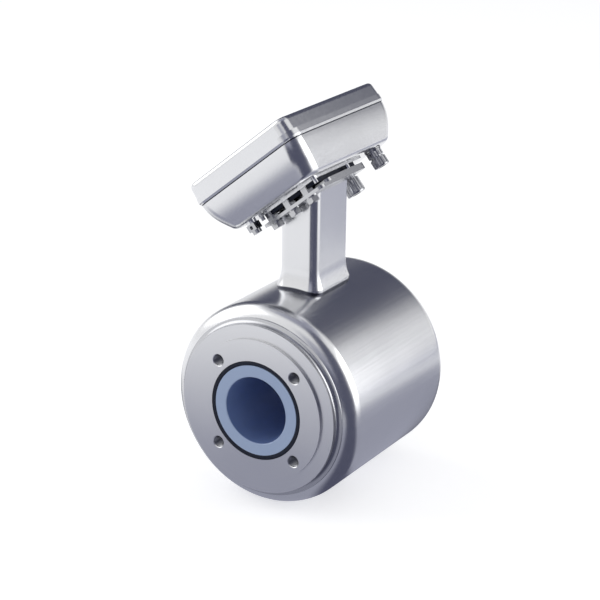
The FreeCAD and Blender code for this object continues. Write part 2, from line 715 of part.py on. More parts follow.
def transmitter_pan():
    """Deep pan with an upright rim, a crease and sides that lean in to a flat bottom."""
    crease = seam - PAN_CREASE_DEPTH
    outer = stepped_loft([pan_section(PAN_BOTTOM_INSET, pan_bottom), pan_section(PAN_CREASE_INSET, crease),
                          pan_section(PAN_RIM_INSET, seam)], HEAD_SHIFT)
    outer = outer.makeFillet(PAN_CREASE_RADIUS, edges_at(outer, crease))
    outer = outer.makeFillet(PAN_BOTTOM_RADIUS, edges_at(outer, pan_bottom))
    slope = (PAN_BOTTOM_INSET - PAN_CREASE_INSET) / (crease - pan_bottom)
    floor_inset = PAN_BOTTOM_INSET - slope * PAN_FLOOR
    hollow = stepped_loft([pan_section(floor_inset, floor_top, PAN_WALL),
                           pan_section(PAN_CREASE_INSET, crease, PAN_WALL),
                           pan_section(PAN_RIM_INSET, seam, PAN_WALL)], HEAD_SHIFT)
    pad_length = flange_back - lip_front + PAD_FRONT_MARGIN
    pad = rounded_plate(PAD_WIDTH, pad_length, PAD_CORNER, PAD_HEIGHT + PAN_FLOOR / 2, pad_bottom,
                        HEAD_SHIFT + PAD_SHIFT, flange_back - pad_length / 2)
    solids = [outer.cut(hollow), pad]
    cutters = [rounded_plate(PASSAGE_WIDTH, PASSAGE_DEPTH, PASSAGE_CORNER, seam)]
    for x, y in cover_screw_places():
        boss = cylinder(SCREW_BOSS_DIA, PAN_DEPTH, pan_bottom, x, y)
        solids.append(boss.common(outer))
        cutters.append(cylinder(COVER_SCREW_DIA, COVER_SCREW_ENGAGEMENT, seam - COVER_SCREW_ENGAGEMENT, x, y))
    for x, y in flange_bolt_places():
        cutters.append(cylinder(FLANGE_BOLT_DIA, FLANGE_BOLT_ENGAGEMENT, pad_bottom, x, y))
    for x, y, size, _ in glands():
        cutters.append(cylinder(GLAND_THREAD_RATIO * size, floor_top, 0, x, y))
    x, y = earth_place()
    low = pan_bottom - EARTH_BOSS_HEIGHT
    solids.append(cylinder(EARTH_BOSS_DIA, EARTH_BOSS_HEIGHT + PAN_FLOOR / 2, low, x, y))
    cutters.append(cylinder(EARTH_SCREW_DIA, EARTH_SCREW_ENGAGEMENT, low, x, y))
    return union(solids).cut(cutters)


# Cover and display, in the head's frame

def cover_screw_seat():
    return cover_top - COVER_SCREW_HEAD_HEIGHT


def crown_section(inset, z, wall=0.0):
    shrink = 2 * (CROWN_LEDGE + inset + wall)
    return (HEAD_WIDTH - shrink, HEAD_LENGTH - shrink, CROWN_CORNER - wall, z)


def cover():
    """Pressed and machined cover: upright rim with a chamfered lip, and a raised flat crown."""
    lip_top = cover_bottom + COVER_LIP
    rim = stepped_loft([pan_section(COVER_LIP_INSET, cover_bottom), pan_section(0, lip_top),
                        pan_section(0, crown_bottom)], HEAD_SHIFT)
    crown = stepped_loft([crown_section(0, cover_bottom), crown_section(0, crown_bottom),
                          crown_section(CROWN_DRAFT, cover_top)], HEAD_SHIFT)
    crown = crown.makeFillet(CROWN_RADIUS, edges_at(crown, cover_top))
    hollow = stepped_loft([crown_section(0, cover_bottom, COVER_WALL),
                           crown_section(0, crown_bottom, COVER_WALL),
                           crown_section(CROWN_DRAFT, ceiling, COVER_WALL)], HEAD_SHIFT)
    hollow = hollow.makeFillet(CROWN_RADIUS / 2, edges_at(hollow, ceiling))
    solids = [rim.fuse(crown).cut(hollow)]
    cutters = [window_sheet(0, cover_top, 0)]
    for x, y in cover_screw_places():
        solids.append(cylinder(SCREW_BOSS_DIA, ceiling - cover_bottom + COVER_WALL / 2, cover_bottom, x, y))
        cutters.append(cylinder(COVER_SCREW_DIA + 2 * HOLE_CLEARANCE, cover_top, 0, x, y))
        cutters.append(cylinder(COVER_SCREW_HEAD_DIA + 2 * HOLE_CLEARANCE, COVER_SCREW_HEAD_HEIGHT,
                                cover_screw_seat(), x, y))
    return union(solids).cut(cutters)


def cover_gasket():
    inset = PAN_RIM_INSET + COVER_GASKET_INSET
    width = HEAD_WIDTH - 2 * inset
    length = HEAD_LENGTH - 2 * inset
    corner = HEAD_CORNER - COVER_GASKET_INSET
    thick = COVER_GASKET_THICKNESS
    thin = PAN_WALL - COVER_GASKET_INSET
    ring = rounded_plate(width, length, corner, thick, seam, HEAD_SHIFT)
    hole = rounded_plate(width - 2 * thin, length - 2 * thin, corner - thin, thick, seam, HEAD_SHIFT)
    return ring.cut(hole)


def cover_screw(x, y):
    """Socket head screw sunk in the cover, with its thread in the pan's boss."""
    seat = cover_screw_seat()
    head = cylinder(COVER_SCREW_HEAD_DIA, COVER_SCREW_HEAD_HEIGHT, seat, x, y)
    low = seam - COVER_SCREW_ENGAGEMENT
    shank = cylinder(COVER_SCREW_DIA, seat - low, low, x, y)
    depth = COVER_SCREW_HEAD_HEIGHT / 2
    return head.fuse(shank).cut(hexagon(COVER_SCREW_SOCKET, depth, cover_top - depth, x, y))


def window_sheet(overlap, thickness, z, corner=WINDOW_CORNER):
    """Sheet of the window's shape, larger all round by the overlap."""
    width = window_width + 2 * overlap
    length = window_length + 2 * overlap
    return rounded_plate(width, length, corner, thickness, z, HEAD_SHIFT)


def display_window():
    return window_sheet(WINDOW_OVERLAP, WINDOW_THICKNESS, window_bottom)


def window_gasket():
    sheet = window_sheet(WINDOW_OVERLAP, WINDOW_GASKET_THICKNESS, window_top)
    return sheet.cut(window_sheet(0, WINDOW_GASKET_THICKNESS, window_top))


def window_frame():
    """Frame that holds the window up against the cover."""
    outer = window_sheet(WINDOW_OVERLAP + WINDOW_FRAME_OVERLAP, ceiling - frame_bottom, frame_bottom)
    pocket = window_sheet(WINDOW_OVERLAP + SEAL_CLEARANCE, ceiling - window_bottom, window_bottom)
    opening = window_sheet(-WINDOW_FRAME_OVERLAP, WINDOW_FRAME_THICKNESS, frame_bottom, WINDOW_CORNER / 2)
    return outer.cut([pocket, opening])


def display_screen():
    return window_sheet(0, SCREEN_THICKNESS, display_board_top, WINDOW_CORNER / 2)


def display_board():
    bottom = display_board_top - BOARD_THICKNESS
    return window_sheet(WINDOW_OVERLAP, BOARD_THICKNESS, bottom, WINDOW_CORNER / 2)


def display_posts():
    bottom = display_board_top - BOARD_THICKNESS
    edge = DISPLAY_POST_DIA / 2 + HOLE_CLEARANCE
    near = -window_length / 2 - WINDOW_OVERLAP + edge
    far = boards()[0][0] + MAIN_BOARD_LENGTH - edge
    posts = []
    for sx in (-1, 1):
        for y in (near, far):
            x = HEAD_SHIFT + sx * window_width / 2
            posts.append(cylinder(DISPLAY_POST_DIA, bottom - board_top, board_top, x, y))
    return posts


# Boards and terminals

def board(y_low, length):
    sheet = Part.makeBox(board_width, length, BOARD_THICKNESS,
                         Vector(HEAD_SHIFT - board_width / 2, y_low, board_bottom))
    holes = [cylinder(BOARD_SCREW_DIA + 2 * HOLE_CLEARANCE, board_top, 0, x, y)
             for x, y in board_screw_places(y_low, length)]
    return sheet.cut(holes)


def standoff(x, y):
    post = hexagon(STANDOFF_FLATS, board_bottom - floor_top, floor_top, x, y)
    return post.cut(cylinder(BOARD_SCREW_DIA, BOARD_LIFT / 2, board_bottom - BOARD_LIFT / 2, x, y))


def board_screw(x, y):
    shank = cylinder(BOARD_SCREW_DIA, BOARD_THICKNESS + BOARD_LIFT / 2, board_bottom - BOARD_LIFT / 2, x, y)
    return shank.fuse(cylinder(BOARD_SCREW_HEAD_DIA, BOARD_SCREW_HEAD_HEIGHT, board_top, x, y))


def terminal_block(x, y):
    """Row of screw terminals, open towards the glands."""
    body = Part.makeBox(TERMINAL_BLOCK_WIDTH, TERMINAL_BLOCK_DEPTH, TERMINAL_BLOCK_HEIGHT,
                        Vector(x - TERMINAL_BLOCK_WIDTH / 2, y - TERMINAL_BLOCK_DEPTH / 2, board_top))
    count = int(TERMINAL_BLOCK_WIDTH / TERMINAL_PITCH)
    cutters = []
    for i in range(count):
        across = x + TERMINAL_PITCH * (i - (count - 1) / 2)
        cutters.append(cylinder(TERMINAL_HOLE_DIA, TERMINAL_BLOCK_HEIGHT / 3,
                                board_top + TERMINAL_BLOCK_HEIGHT * 2 / 3, across, y))
    return body.cut(cutters)


def terminal_blocks():
    y_low, length = boards()[1]
    step = board_width / TERMINAL_BLOCK_COUNT
    places = [HEAD_SHIFT + step * (i - (TERMINAL_BLOCK_COUNT - 1) / 2) for i in range(TERMINAL_BLOCK_COUNT)]
    return [terminal_block(x, y_low + length / 2) for x in places]


# Cable glands, hanging below the pan

def gland_seat():
    return pan_bottom - GLAND_WASHER_THICKNESS


def gland_washer(x, y, size, _):
    outer = size + 2 * GLAND_WASHER_REACH
    return tube(outer, GLAND_THREAD_RATIO * size, GLAND_WASHER_THICKNESS, gland_seat(), x, y)


def gland_body(x, y, size, _):
    """Threaded sleeve with a hexagon, screwed into the pan's bottom."""
    thread = GLAND_THREAD_RATIO * size
    bottom = gland_seat() - GLAND_BODY_RATIO * size
    low = bottom - (GLAND_GAP_RATIO + GLAND_TAIL_RATIO) * size
    body = hexagon(size, gland_seat() - bottom, bottom, x, y)
    body = body.fuse(cylinder(thread, floor_top + GLAND_WASHER_THICKNESS - low, low, x, y))
    return body.cut(cylinder(GLAND_SLEEVE_RATIO * size, seam, low, x, y))


def gland_nut(x, y, size, height):
    """Domed cap nut with grip flutes and a round mouth for the cable."""
    top = gland_seat() - (GLAND_BODY_RATIO + GLAND_GAP_RATIO) * size
    bottom = top - height
    tail = GLAND_TAIL_RATIO * size + SEAL_CLEARANCE
    nut = cylinder(size, height, bottom, x, y)
    nut = nut.makeFillet(size / 6, edges_at(nut, bottom))
    cutters = [cylinder(GLAND_THREAD_RATIO * size, tail, top - tail, x, y)]
    cutters.append(cylinder(GLAND_CABLE_RATIO * size, height, bottom, x, y))
    radius = 2 * GRIP_FLUTE_DEPTH
    reach = size / 2 + radius - GRIP_FLUTE_DEPTH
    for i in range(GRIP_FLUTES):
        angle = 2 * math.pi * i / GRIP_FLUTES
        cutters.append(cylinder(2 * radius, height, bottom + size / 6,
                                x + reach * math.cos(angle), y + reach * math.sin(angle)))
    return nut.cut(cutters)


def gland_seal(x, y, size, height):
    """Rubber insert that closes around the cable, seen in the nut's mouth."""
    top = gland_seat() - (GLAND_BODY_RATIO + GLAND_GAP_RATIO + GLAND_TAIL_RATIO) * size
    bottom = gland_seat() - (GLAND_BODY_RATIO + GLAND_GAP_RATIO) * size - height + size / 10
    return cylinder(GLAND_CABLE_RATIO * size, top - bottom, bottom, x, y)


# Earth terminal

def earth_clamp():
    x, y = earth_place()
    top = pan_bottom - EARTH_BOSS_HEIGHT
    half = EARTH_CLAMP_SIZE / 2
    block = Part.makeBox(EARTH_CLAMP_SIZE, EARTH_CLAMP_SIZE, EARTH_CLAMP_HEIGHT,
                         Vector(x - half, y - half, top - EARTH_CLAMP_HEIGHT))
    wire_hole = Part.makeCylinder(EARTH_WIRE_DIA / 2, EARTH_CLAMP_SIZE / 2,
                                  Vector(x, y - half, top - EARTH_CLAMP_HEIGHT / 2), Vector(0, 1, 0))
    screw_hole = cylinder(EARTH_SCREW_DIA, EARTH_CLAMP_HEIGHT, top - EARTH_CLAMP_HEIGHT, x, y)
    return block.cut([wire_hole, screw_hole])


def earth_screw():
    x, y = earth_place()
    low = pan_bottom - EARTH_BOSS_HEIGHT - EARTH_CLAMP_HEIGHT
    shank = cylinder(EARTH_SCREW_DIA, EARTH_CLAMP_HEIGHT + EARTH_SCREW_ENGAGEMENT, low, x, y)
    head = cylinder(EARTH_SCREW_HEAD_DIA, EARTH_SCREW_HEAD_HEIGHT, low - EARTH_SCREW_HEAD_HEIGHT, x, y)
    slot = Part.makeBox(EARTH_SCREW_HEAD_DIA, EARTH_SCREW_HEAD_HEIGHT / 3, EARTH_SCREW_HEAD_HEIGHT / 2,
                        Vector(x - EARTH_SCREW_HEAD_DIA / 2, y - EARTH_SCREW_HEAD_HEIGHT / 6,
                               low - EARTH_SCREW_HEAD_HEIGHT))
    return shank.fuse(head).cut(slot)


# All nodes of the meter

def flow_nodes():
    electrodes = at_all_electrodes(electrode())
    return {
        "measuring_tube": [measuring_tube()],
        "inlet_end_plate": [end_plate()],
        "outlet_end_plate": [mirrored_y(end_plate())],
        "liner": [liner()],
        "inlet_seal": [seal()],
        "outlet_seal": [mirrored_y(seal())],
        "housing_shell": [housing_shell()],
        "inlet_shoulder": [shoulder()],
        "outlet_shoulder": [mirrored_y(shoulder())],
        "inlet_closing_ring": [closing_ring()],
        "outlet_closing_ring": [mirrored_y(closing_ring())],
        "right_electrode": [electrodes[0]],
        "left_electrode": [electrodes[1]],
        "full_pipe_electrode": [electrodes[2]],
        "reference_electrode": [electrodes[3]],
        "electrode_bushes": at_all_electrodes(electrode_bush()),
        "electrode_springs": at_all_electrodes(disc_spring()),
        "electrode_nuts": at_all_electrodes(electrode_nut()),
        "upper_pole_shoe": [pole_shoe()],
        "lower_pole_shoe": [upside_down(pole_shoe())],
        "upper_core": [pole_core()],
        "lower_core": [upside_down(pole_core())],
        "upper_bobbin": [bobbin()],
        "lower_bobbin": [upside_down(bobbin())],
        "upper_coil": [coil()],
        "lower_coil": [upside_down(coil())],
        "yoke_ring": [yoke_ring()],
        "neck": [neck()],
        "neck_grommet": [neck_grommet()],
    }


def head_nodes():
    main, terminals = boards()
    bolts = flange_bolt_places()
    screws = cover_screw_places()
    power, signal = glands()
    return {
        "neck_flange": [neck_flange()],
        "flange_gasket": [flange_gasket()],
        "flange_bolts": [flange_bolt(x, y) for x, y in bolts],
        "flange_washers": [flange_washer(x, y) for x, y in bolts],
        "flange_spacers": [flange_spacer(x, y) for x, y in bolts],
        "transmitter_pan": [transmitter_pan()],
        "cover": [cover()],
        "cover_gasket": [cover_gasket()],
        "cover_screws": [cover_screw(x, y) for x, y in screws],
        "display_window": [display_window()],
        "window_gasket": [window_gasket()],
        "window_frame": [window_frame()],
        "display_screen": [display_screen()],
        "display_board": [display_board()],
        "display_posts": display_posts(),
        "main_board": [board(*main)],
        "terminal_board": [board(*terminals)],
        "board_standoffs": [standoff(x, y) for x, y in all_board_screws()],
        "board_screws": [board_screw(x, y) for x, y in all_board_screws()],
        "terminal_blocks": terminal_blocks(),
        "gland_washers": [gland_washer(*power), gland_washer(*signal)],
        "power_gland_body": [gland_body(*power)],
        "power_gland_nut": [gland_nut(*power)],
        "power_gland_seal": [gland_seal(*power)],
        "signal_gland_body": [gland_body(*signal)],
        "signal_gland_nut": [gland_nut(*signal)],
        "signal_gland_seal": [gland_seal(*signal)],
        "earth_clamp": [earth_clamp()],
        "earth_screw": [earth_screw()],
    }


def export(name, solids):
    shape = solids[0] if len(solids) == 1 else Part.makeCompound(solids)
    shape.exportStep("parts/" + name + ".step")


def main():
    os.makedirs("parts", exist_ok=True)
    for name, solids in flow_nodes().items():
        export(name, solids)
    for name, solids in head_nodes().items():
        export(name, [in_head(solid) for solid in solids])


main()
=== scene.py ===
import math

import bmesh
import bpy
from mathutils import Matrix, Vector


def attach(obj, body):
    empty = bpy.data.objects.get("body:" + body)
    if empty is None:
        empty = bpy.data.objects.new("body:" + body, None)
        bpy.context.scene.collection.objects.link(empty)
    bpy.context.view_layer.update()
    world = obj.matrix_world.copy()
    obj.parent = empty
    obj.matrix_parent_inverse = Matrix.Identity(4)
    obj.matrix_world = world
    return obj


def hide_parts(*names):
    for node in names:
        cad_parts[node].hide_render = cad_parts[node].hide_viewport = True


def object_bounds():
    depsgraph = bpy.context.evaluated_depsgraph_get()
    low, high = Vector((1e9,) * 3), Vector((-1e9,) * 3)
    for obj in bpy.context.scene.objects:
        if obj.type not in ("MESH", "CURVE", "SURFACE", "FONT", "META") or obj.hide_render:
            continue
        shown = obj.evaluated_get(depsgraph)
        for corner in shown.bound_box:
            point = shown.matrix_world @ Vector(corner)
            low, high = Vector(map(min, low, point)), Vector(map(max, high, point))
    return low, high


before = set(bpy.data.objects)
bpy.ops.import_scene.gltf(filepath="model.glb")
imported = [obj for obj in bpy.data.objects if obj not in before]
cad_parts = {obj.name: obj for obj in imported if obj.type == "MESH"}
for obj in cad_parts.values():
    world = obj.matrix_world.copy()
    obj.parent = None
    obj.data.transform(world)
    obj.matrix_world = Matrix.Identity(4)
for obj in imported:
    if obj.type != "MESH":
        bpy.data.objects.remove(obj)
cad_low, cad_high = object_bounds()


def add_object(name, data):
    """New object in the scene."""
    item = bpy.data.objects.new(name, data)
    bpy.context.scene.collection.objects.link(item)
    return item


def mesh_object(name, mesh):
    """New object from an edited mesh, which is freed."""
    data = bpy.data.meshes.new(name)
    mesh.to_mesh(data)
    mesh.free()
    return add_object(name, data)


# Camera, fitted to the end face, its holes and the outline of the round housing

CAMERA_PLACE = (0.65281, -1.08723, 0.51908)
CAMERA_RIGHT = (0.8513266, 0.5245101, 0.0114986)
CAMERA_UP = (-0.1888358, 0.2859018, 0.9394686)
CAMERA_BACK = (0.4894733, -0.8019659, 0.3424421)
SENSOR_MM = 36.0
LENS_MM = 116.83


def make_camera():
    data = bpy.data.cameras.new("camera")
    data.sensor_fit = "HORIZONTAL"
    data.sensor_width = SENSOR_MM
    data.lens = LENS_MM
    camera = add_object("camera", data)
    turn = Matrix((CAMERA_RIGHT, CAMERA_UP, CAMERA_BACK)).transposed().to_4x4()
    camera.matrix_world = Matrix.Translation(CAMERA_PLACE) @ turn
    bpy.context.scene.camera = camera


make_camera()
bpy.context.scene.view_settings.view_transform = "Standard"


# Node helpers

UV_OUTPUT = 2
OBJECT_OUTPUT = 3


class Nodes:
    """Builds one material's nodes: each call adds a node, fills its inputs and returns an output.

    Names that start with set_ are properties, i0, i1 and so on are inputs by number, and the rest
    are inputs by name. Properties come first, since they decide which inputs a node has."""

    def __init__(self, tree):
        self.tree = tree

    def add(self, kind, output=0, **inputs):
        node = self.tree.nodes.new("ShaderNode" + kind)
        for name, value in inputs.items():
            if name.startswith("set_"):
                setattr(node, name[4:], value)
        for name, value in inputs.items():
            if name.startswith("set_"):
                continue
            key = int(name[1:]) if name[1:].isdigit() else name.replace("_", " ")
            self.feed(node.inputs[key], value)
        return node.outputs[output]

    def feed(self, socket, value):
        if isinstance(value, bpy.types.NodeSocket):
            self.tree.links.new(value, socket)
        else:
            socket.default_value = value

    def coords(self):
        """Place in the piece's own frame, in metres."""
        return self.add("TexCoord", output=OBJECT_OUTPUT)

    def parts(self, vector):
        """X, Y and Z of a vector."""
        return self.add("SeparateXYZ", i0=vector).node.outputs

    def math(self, operation, a, b=0.0):
        return self.add("Math", set_operation=operation, i0=a, i1=b)

    def flow_radius(self, parts):
        """Distance from the flow axis."""
        squared = self.math("ADD", self.math("MULTIPLY", parts[0], parts[0]),
                            self.math("MULTIPLY", parts[2], parts[2]))
        return self.math("SQRT", squared)

    def blend(self, share, low, high):
        """Number that runs from low to high as share runs from 0 to 1."""
        return self.add("MapRange", Value=share, To_Min=low, To_Max=high)

    def spread(self, share, start, end):
        """Smooth step of a number between start and end."""
        return self.add("MapRange", set_interpolation_type="SMOOTHSTEP", Value=share,
                        From_Min=start, From_Max=end)

    def tint(self, share, low, high):
        """Colour that runs from low to high, each a colour or another node's output."""
        node = self.tree.nodes.new("ShaderNodeMix")
        node.data_type = "RGBA"
        self.feed(node.inputs["Factor"], share)
        for name, colour in (("A", low), ("B", high)):
            linked = isinstance(colour, bpy.types.NodeSocket)
            self.feed(node.inputs[name], colour if linked else (*colour, 1.0))
        return node.outputs["Result"]

    def noise(self, coords, scale, detail=2.0, rough=0.5):
        return self.add("TexNoise", Vector=coords, Scale=scale, Detail=detail, Roughness=rough)

    def stretched(self, coords, x, y, z):
        return self.add("Mapping", Vector=coords, Scale=(x, y, z))


def new_material(name, colour, roughness, metallic=0.0):
    material = bpy.data.materials.new(name)
    material.use_nodes = True
    tree = material.node_tree
    shader = tree.nodes["Principled BSDF"]
    shader.inputs["Base Color"].default_value = (*colour, 1.0)
    shader.inputs["Roughness"].default_value = roughness
    shader.inputs["Metallic"].default_value = metallic
    return material, Nodes(tree), shader


def scaled(colour, share):
    return tuple(min(1.0, c * share) for c in colour)


def finish_surface(nodes, shader, height, distance):
    bump = nodes.add("Bump", Height=height, Distance=distance, Strength=1.0)
    nodes.feed(shader.inputs["Normal"], bump)


# Metals

STEEL = (0.69, 0.695, 0.71)
# Painted shade: a narrow dark band on the neck just above the shell, where the two meet.
FOOT_SHADE_RADII = (0.0729, 0.0736)
FOOT_SHADE_COLOUR = (0.075, 0.078, 0.10)


def steel(name, roughness, grain, colour=STEEL, grain_bump=0.00001, wear=0.05, axis_turned=False):
    """Stainless steel with a drawn grain, uneven polish and faint smudges.

    grain is how many lines to a metre along X, Y and Z, or along the radius and the flow axis where
    the piece is turned."""
    material, nodes, shader = new_material(name, colour, roughness, 1.0)
    coords = nodes.coords()
    drawn = coords
    if axis_turned:
        parts = nodes.parts(coords)
        drawn = nodes.add("CombineXYZ", X=nodes.flow_radius(parts), Y=parts[1], Z=0.0)
    lines = nodes.noise(nodes.stretched(drawn, *grain), 1.0, 3.0)
    patches = nodes.noise(coords, 28.0, 3.0)
    specks = nodes.noise(coords, 900.0, 2.0)
    uneven = nodes.math("ADD", nodes.math("MULTIPLY", lines, 0.6),
                        nodes.math("MULTIPLY", patches, 0.4))
    nodes.feed(shader.inputs["Roughness"], nodes.blend(uneven, roughness - wear, roughness + wear))
    nodes.feed(shader.inputs["Base Color"],
               nodes.tint(uneven, scaled(colour, 0.94), scaled(colour, 1.06)))
    height = nodes.math("ADD", lines, nodes.math("MULTIPLY", specks, 0.35))
    finish_surface(nodes, shader, height, grain_bump)
    return material, nodes, shader


def shell_steel():
    return steel("shell_steel", 0.24, (700.0, 10.0, 700.0), grain_bump=0.000004)[0]


def turned_steel():
    material, nodes, shader = steel("turned_steel", 0.30, (2600.0, 2600.0, 1.0),
                                    grain_bump=0.000008, axis_turned=True)
    shader.inputs["Anisotropic"].default_value = 0.5
    tangent = nodes.add("Tangent", set_direction_type="RADIAL", set_axis="Y")
    nodes.feed(shader.inputs["Tangent"], tangent)
    return material


# Painted shade: a darker copy of the steel for the closing rings, for the dark cove beside the end
# plate.
def shaded_ring_steel():
    return steel("shaded_ring_steel", 0.27, (2600.0, 2600.0, 1.0), colour=(0.50, 0.505, 0.525),
                 grain_bump=0.000006, axis_turned=True)[0]


def neck_steel():
    """Drawn tube with painted shade: a narrow dark line along the foot, where it meets the shell."""
    material, nodes, shader = steel("neck_steel", 0.23, (1500.0, 1500.0, 9.0), grain_bump=0.000006)
    radius = nodes.flow_radius(nodes.parts(nodes.coords()))
    base = shader.inputs["Base Color"]
    polished = base.links[0].from_socket
    nodes.feed(base, nodes.tint(nodes.spread(radius, *FOOT_SHADE_RADII), FOOT_SHADE_COLOUR, polished))
    return material


# Painted shade: a darker copy of the steel for the flange lip, which sits in the shade of the joint.
def shaded_flange_steel():
    return steel("shaded_flange_steel", 0.26, (900.0, 900.0, 900.0), colour=(0.54, 0.545, 0.56),
                 grain_bump=0.000005)[0]


def head_steel():
    return steel("head_steel", 0.22, (420.0, 420.0, 420.0), grain_bump=0.000003)[0]


# Painted shade: a darker copy of the steel for all fasteners, as the bolts and spacers look in the
# shaded gap under the head.
def fastener_steel():
    return steel("fastener_steel", 0.18, (2400.0, 2400.0, 2400.0), colour=(0.47, 0.475, 0.49),
                 grain_bump=0.000004)[0]


def shaded_thread_steel():
    """Cut thread, dull, with painted shade: darker than the faces around it, as the inside of a hole.
    """
    return steel("shaded_thread_steel", 0.34, (2400.0, 2400.0, 2400.0), colour=(0.27, 0.275, 0.295),
                 grain_bump=0.000004)[0]


def nickel():
    return steel("nickel_plate", 0.19, (1800.0, 1800.0, 1800.0), colour=(0.43, 0.435, 0.455),
                 grain_bump=0.000004)[0]


def alloy():
    return steel("electrode_alloy", 0.26, (1600.0, 1600.0, 1600.0), colour=(0.55, 0.56, 0.58))[0]


def soft_iron():
    material, nodes, shader = new_material("soft_iron", (0.22, 0.23, 0.25), 0.5, 0.8)
    coords = nodes.coords()
    scale = nodes.noise(coords, 420.0, 5.0, 0.6)
    patches = nodes.noise(coords, 60.0, 3.0)
    nodes.feed(shader.inputs["Base Color"],
               nodes.tint(patches, (0.17, 0.175, 0.19), (0.27, 0.28, 0.30)))
    nodes.feed(shader.inputs["Roughness"], nodes.blend(scale, 0.4, 0.62))
    finish_surface(nodes, shader, scale, 0.00004)
    return material


def copper_winding():
    """Layers of enamelled wire: fine ridges along the coil's height."""
    material, nodes, shader = new_material("copper_winding", (0.62, 0.30, 0.14), 0.28, 0.9)
    coords = nodes.coords()
    turns = nodes.add("TexWave", Vector=nodes.stretched(coords, 0.0, 0.0, 1.0), Scale=190.0,
                      set_bands_direction="Z", set_wave_profile="SIN")
    patches = nodes.noise(coords, 120.0, 3.0)
    nodes.feed(shader.inputs["Base Color"], nodes.tint(patches, (0.50, 0.20, 0.08), (0.70, 0.36, 0.18)))
    wave = turns.node.outputs["Fac"]
    nodes.feed(shader.inputs["Roughness"], nodes.blend(patches, 0.2, 0.38))
    finish_surface(nodes, shader, wave, 0.00012)
    return material


# Plastics, rubber, glass and boards

# Painted shade: where the liner turns from its pale flares to the darker bore.
LINER_SHADE_EDGE = (0.0728, 0.0732)


def plastic(name, low, high, roughness, grain=900.0, bump=0.00001):
    material, nodes, shader = new_material(name, high, roughness)
    coords = nodes.coords()
    fine = nodes.noise(coords, grain, 3.0)
    patches = nodes.noise(coords, 45.0, 3.0)
    nodes.feed(shader.inputs["Base Color"], nodes.tint(patches, low, high))
    nodes.feed(shader.inputs["Roughness"], nodes.blend(fine, roughness - 0.05, roughness + 0.07))
    finish_surface(nodes, shader, fine, bump)
    return material, nodes, shader


def liner_plastic():
    """Smooth pale blue lining, with painted shade: darker down the bore than on its flares."""
    material, nodes, shader = new_material("liner_plastic", (0.30, 0.42, 0.64), 0.32)
    coords = nodes.coords()
    mouth = nodes.spread(nodes.math("ABSOLUTE", nodes.parts(coords)[1]), *LINER_SHADE_EDGE)
    cloud = nodes.noise(coords, 60.0, 3.0)
    turned = nodes.noise(nodes.stretched(coords, 400.0, 30.0, 400.0), 1.0, 2.0)
    pale = nodes.tint(cloud, (0.42, 0.53, 0.76), (0.46, 0.57, 0.80))
    # Painted shade: the liner down the bore, darker than on its flares.
    bore_shade = nodes.tint(cloud, (0.17, 0.25, 0.50), (0.21, 0.30, 0.57))
    nodes.feed(shader.inputs["Base Color"], nodes.tint(mouth, bore_shade, pale))
    nodes.feed(shader.inputs["Roughness"], nodes.blend(turned, 0.26, 0.38))
    finish_surface(nodes, shader, turned, 0.000008)
    return material


def rubber():
    material, _, shader = plastic("black_rubber", (0.012, 0.015, 0.028), (0.02, 0.025, 0.045), 0.5,
                                  grain=1400.0, bump=0.00002)
    shader.inputs["Specular IOR Level"].default_value = 0.2
    return material


def window_glass():
    material, nodes, shader = new_material("window_glass", (0.93, 0.96, 0.97), 0.03)
    shader.inputs["Transmission Weight"].default_value = 1.0
    shader.inputs["IOR"].default_value = 1.5
    coords = nodes.coords()
    dust = nodes.noise(coords, 160.0, 4.0)
    nodes.feed(shader.inputs["Roughness"], nodes.blend(dust, 0.01, 0.05))
    return material


def display_dark():
    """Dark display with its faint grid of cells, switched off."""
    material, nodes, shader = new_material("display_dark", (0.05, 0.06, 0.065), 0.18)
    coords = nodes.coords()
    cells = nodes.add("TexBrick", Vector=coords, Scale=1400.0,
                      Color1=(0.045, 0.055, 0.06, 1.0), Color2=(0.05, 0.06, 0.065, 1.0),
                      Mortar=(0.02, 0.024, 0.026, 1.0), Mortar_Size=0.06)
    nodes.feed(shader.inputs["Base Color"], cells)
    haze = nodes.noise(coords, 90.0, 3.0)
    nodes.feed(shader.inputs["Roughness"], nodes.blend(haze, 0.12, 0.24))
    return material


def board_green():
    """Circuit board lacquer with paler traces."""
    material, nodes, shader = new_material("board_green", (0.03, 0.20, 0.10), 0.3)
    coords = nodes.coords()
    traces = nodes.add("TexBrick", Vector=coords, Scale=260.0, Color1=(0.02, 0.17, 0.08, 1.0),
                       Color2=(0.03, 0.21, 0.10, 1.0), Mortar=(0.06, 0.30, 0.16, 1.0), Mortar_Size=0.03)
    nodes.feed(shader.inputs["Base Color"], traces)
    weave = nodes.noise(coords, 1500.0, 2.0)
    nodes.feed(shader.inputs["Roughness"], nodes.blend(weave, 0.24, 0.4))
    finish_surface(nodes, shader, weave, 0.00001)
    return material


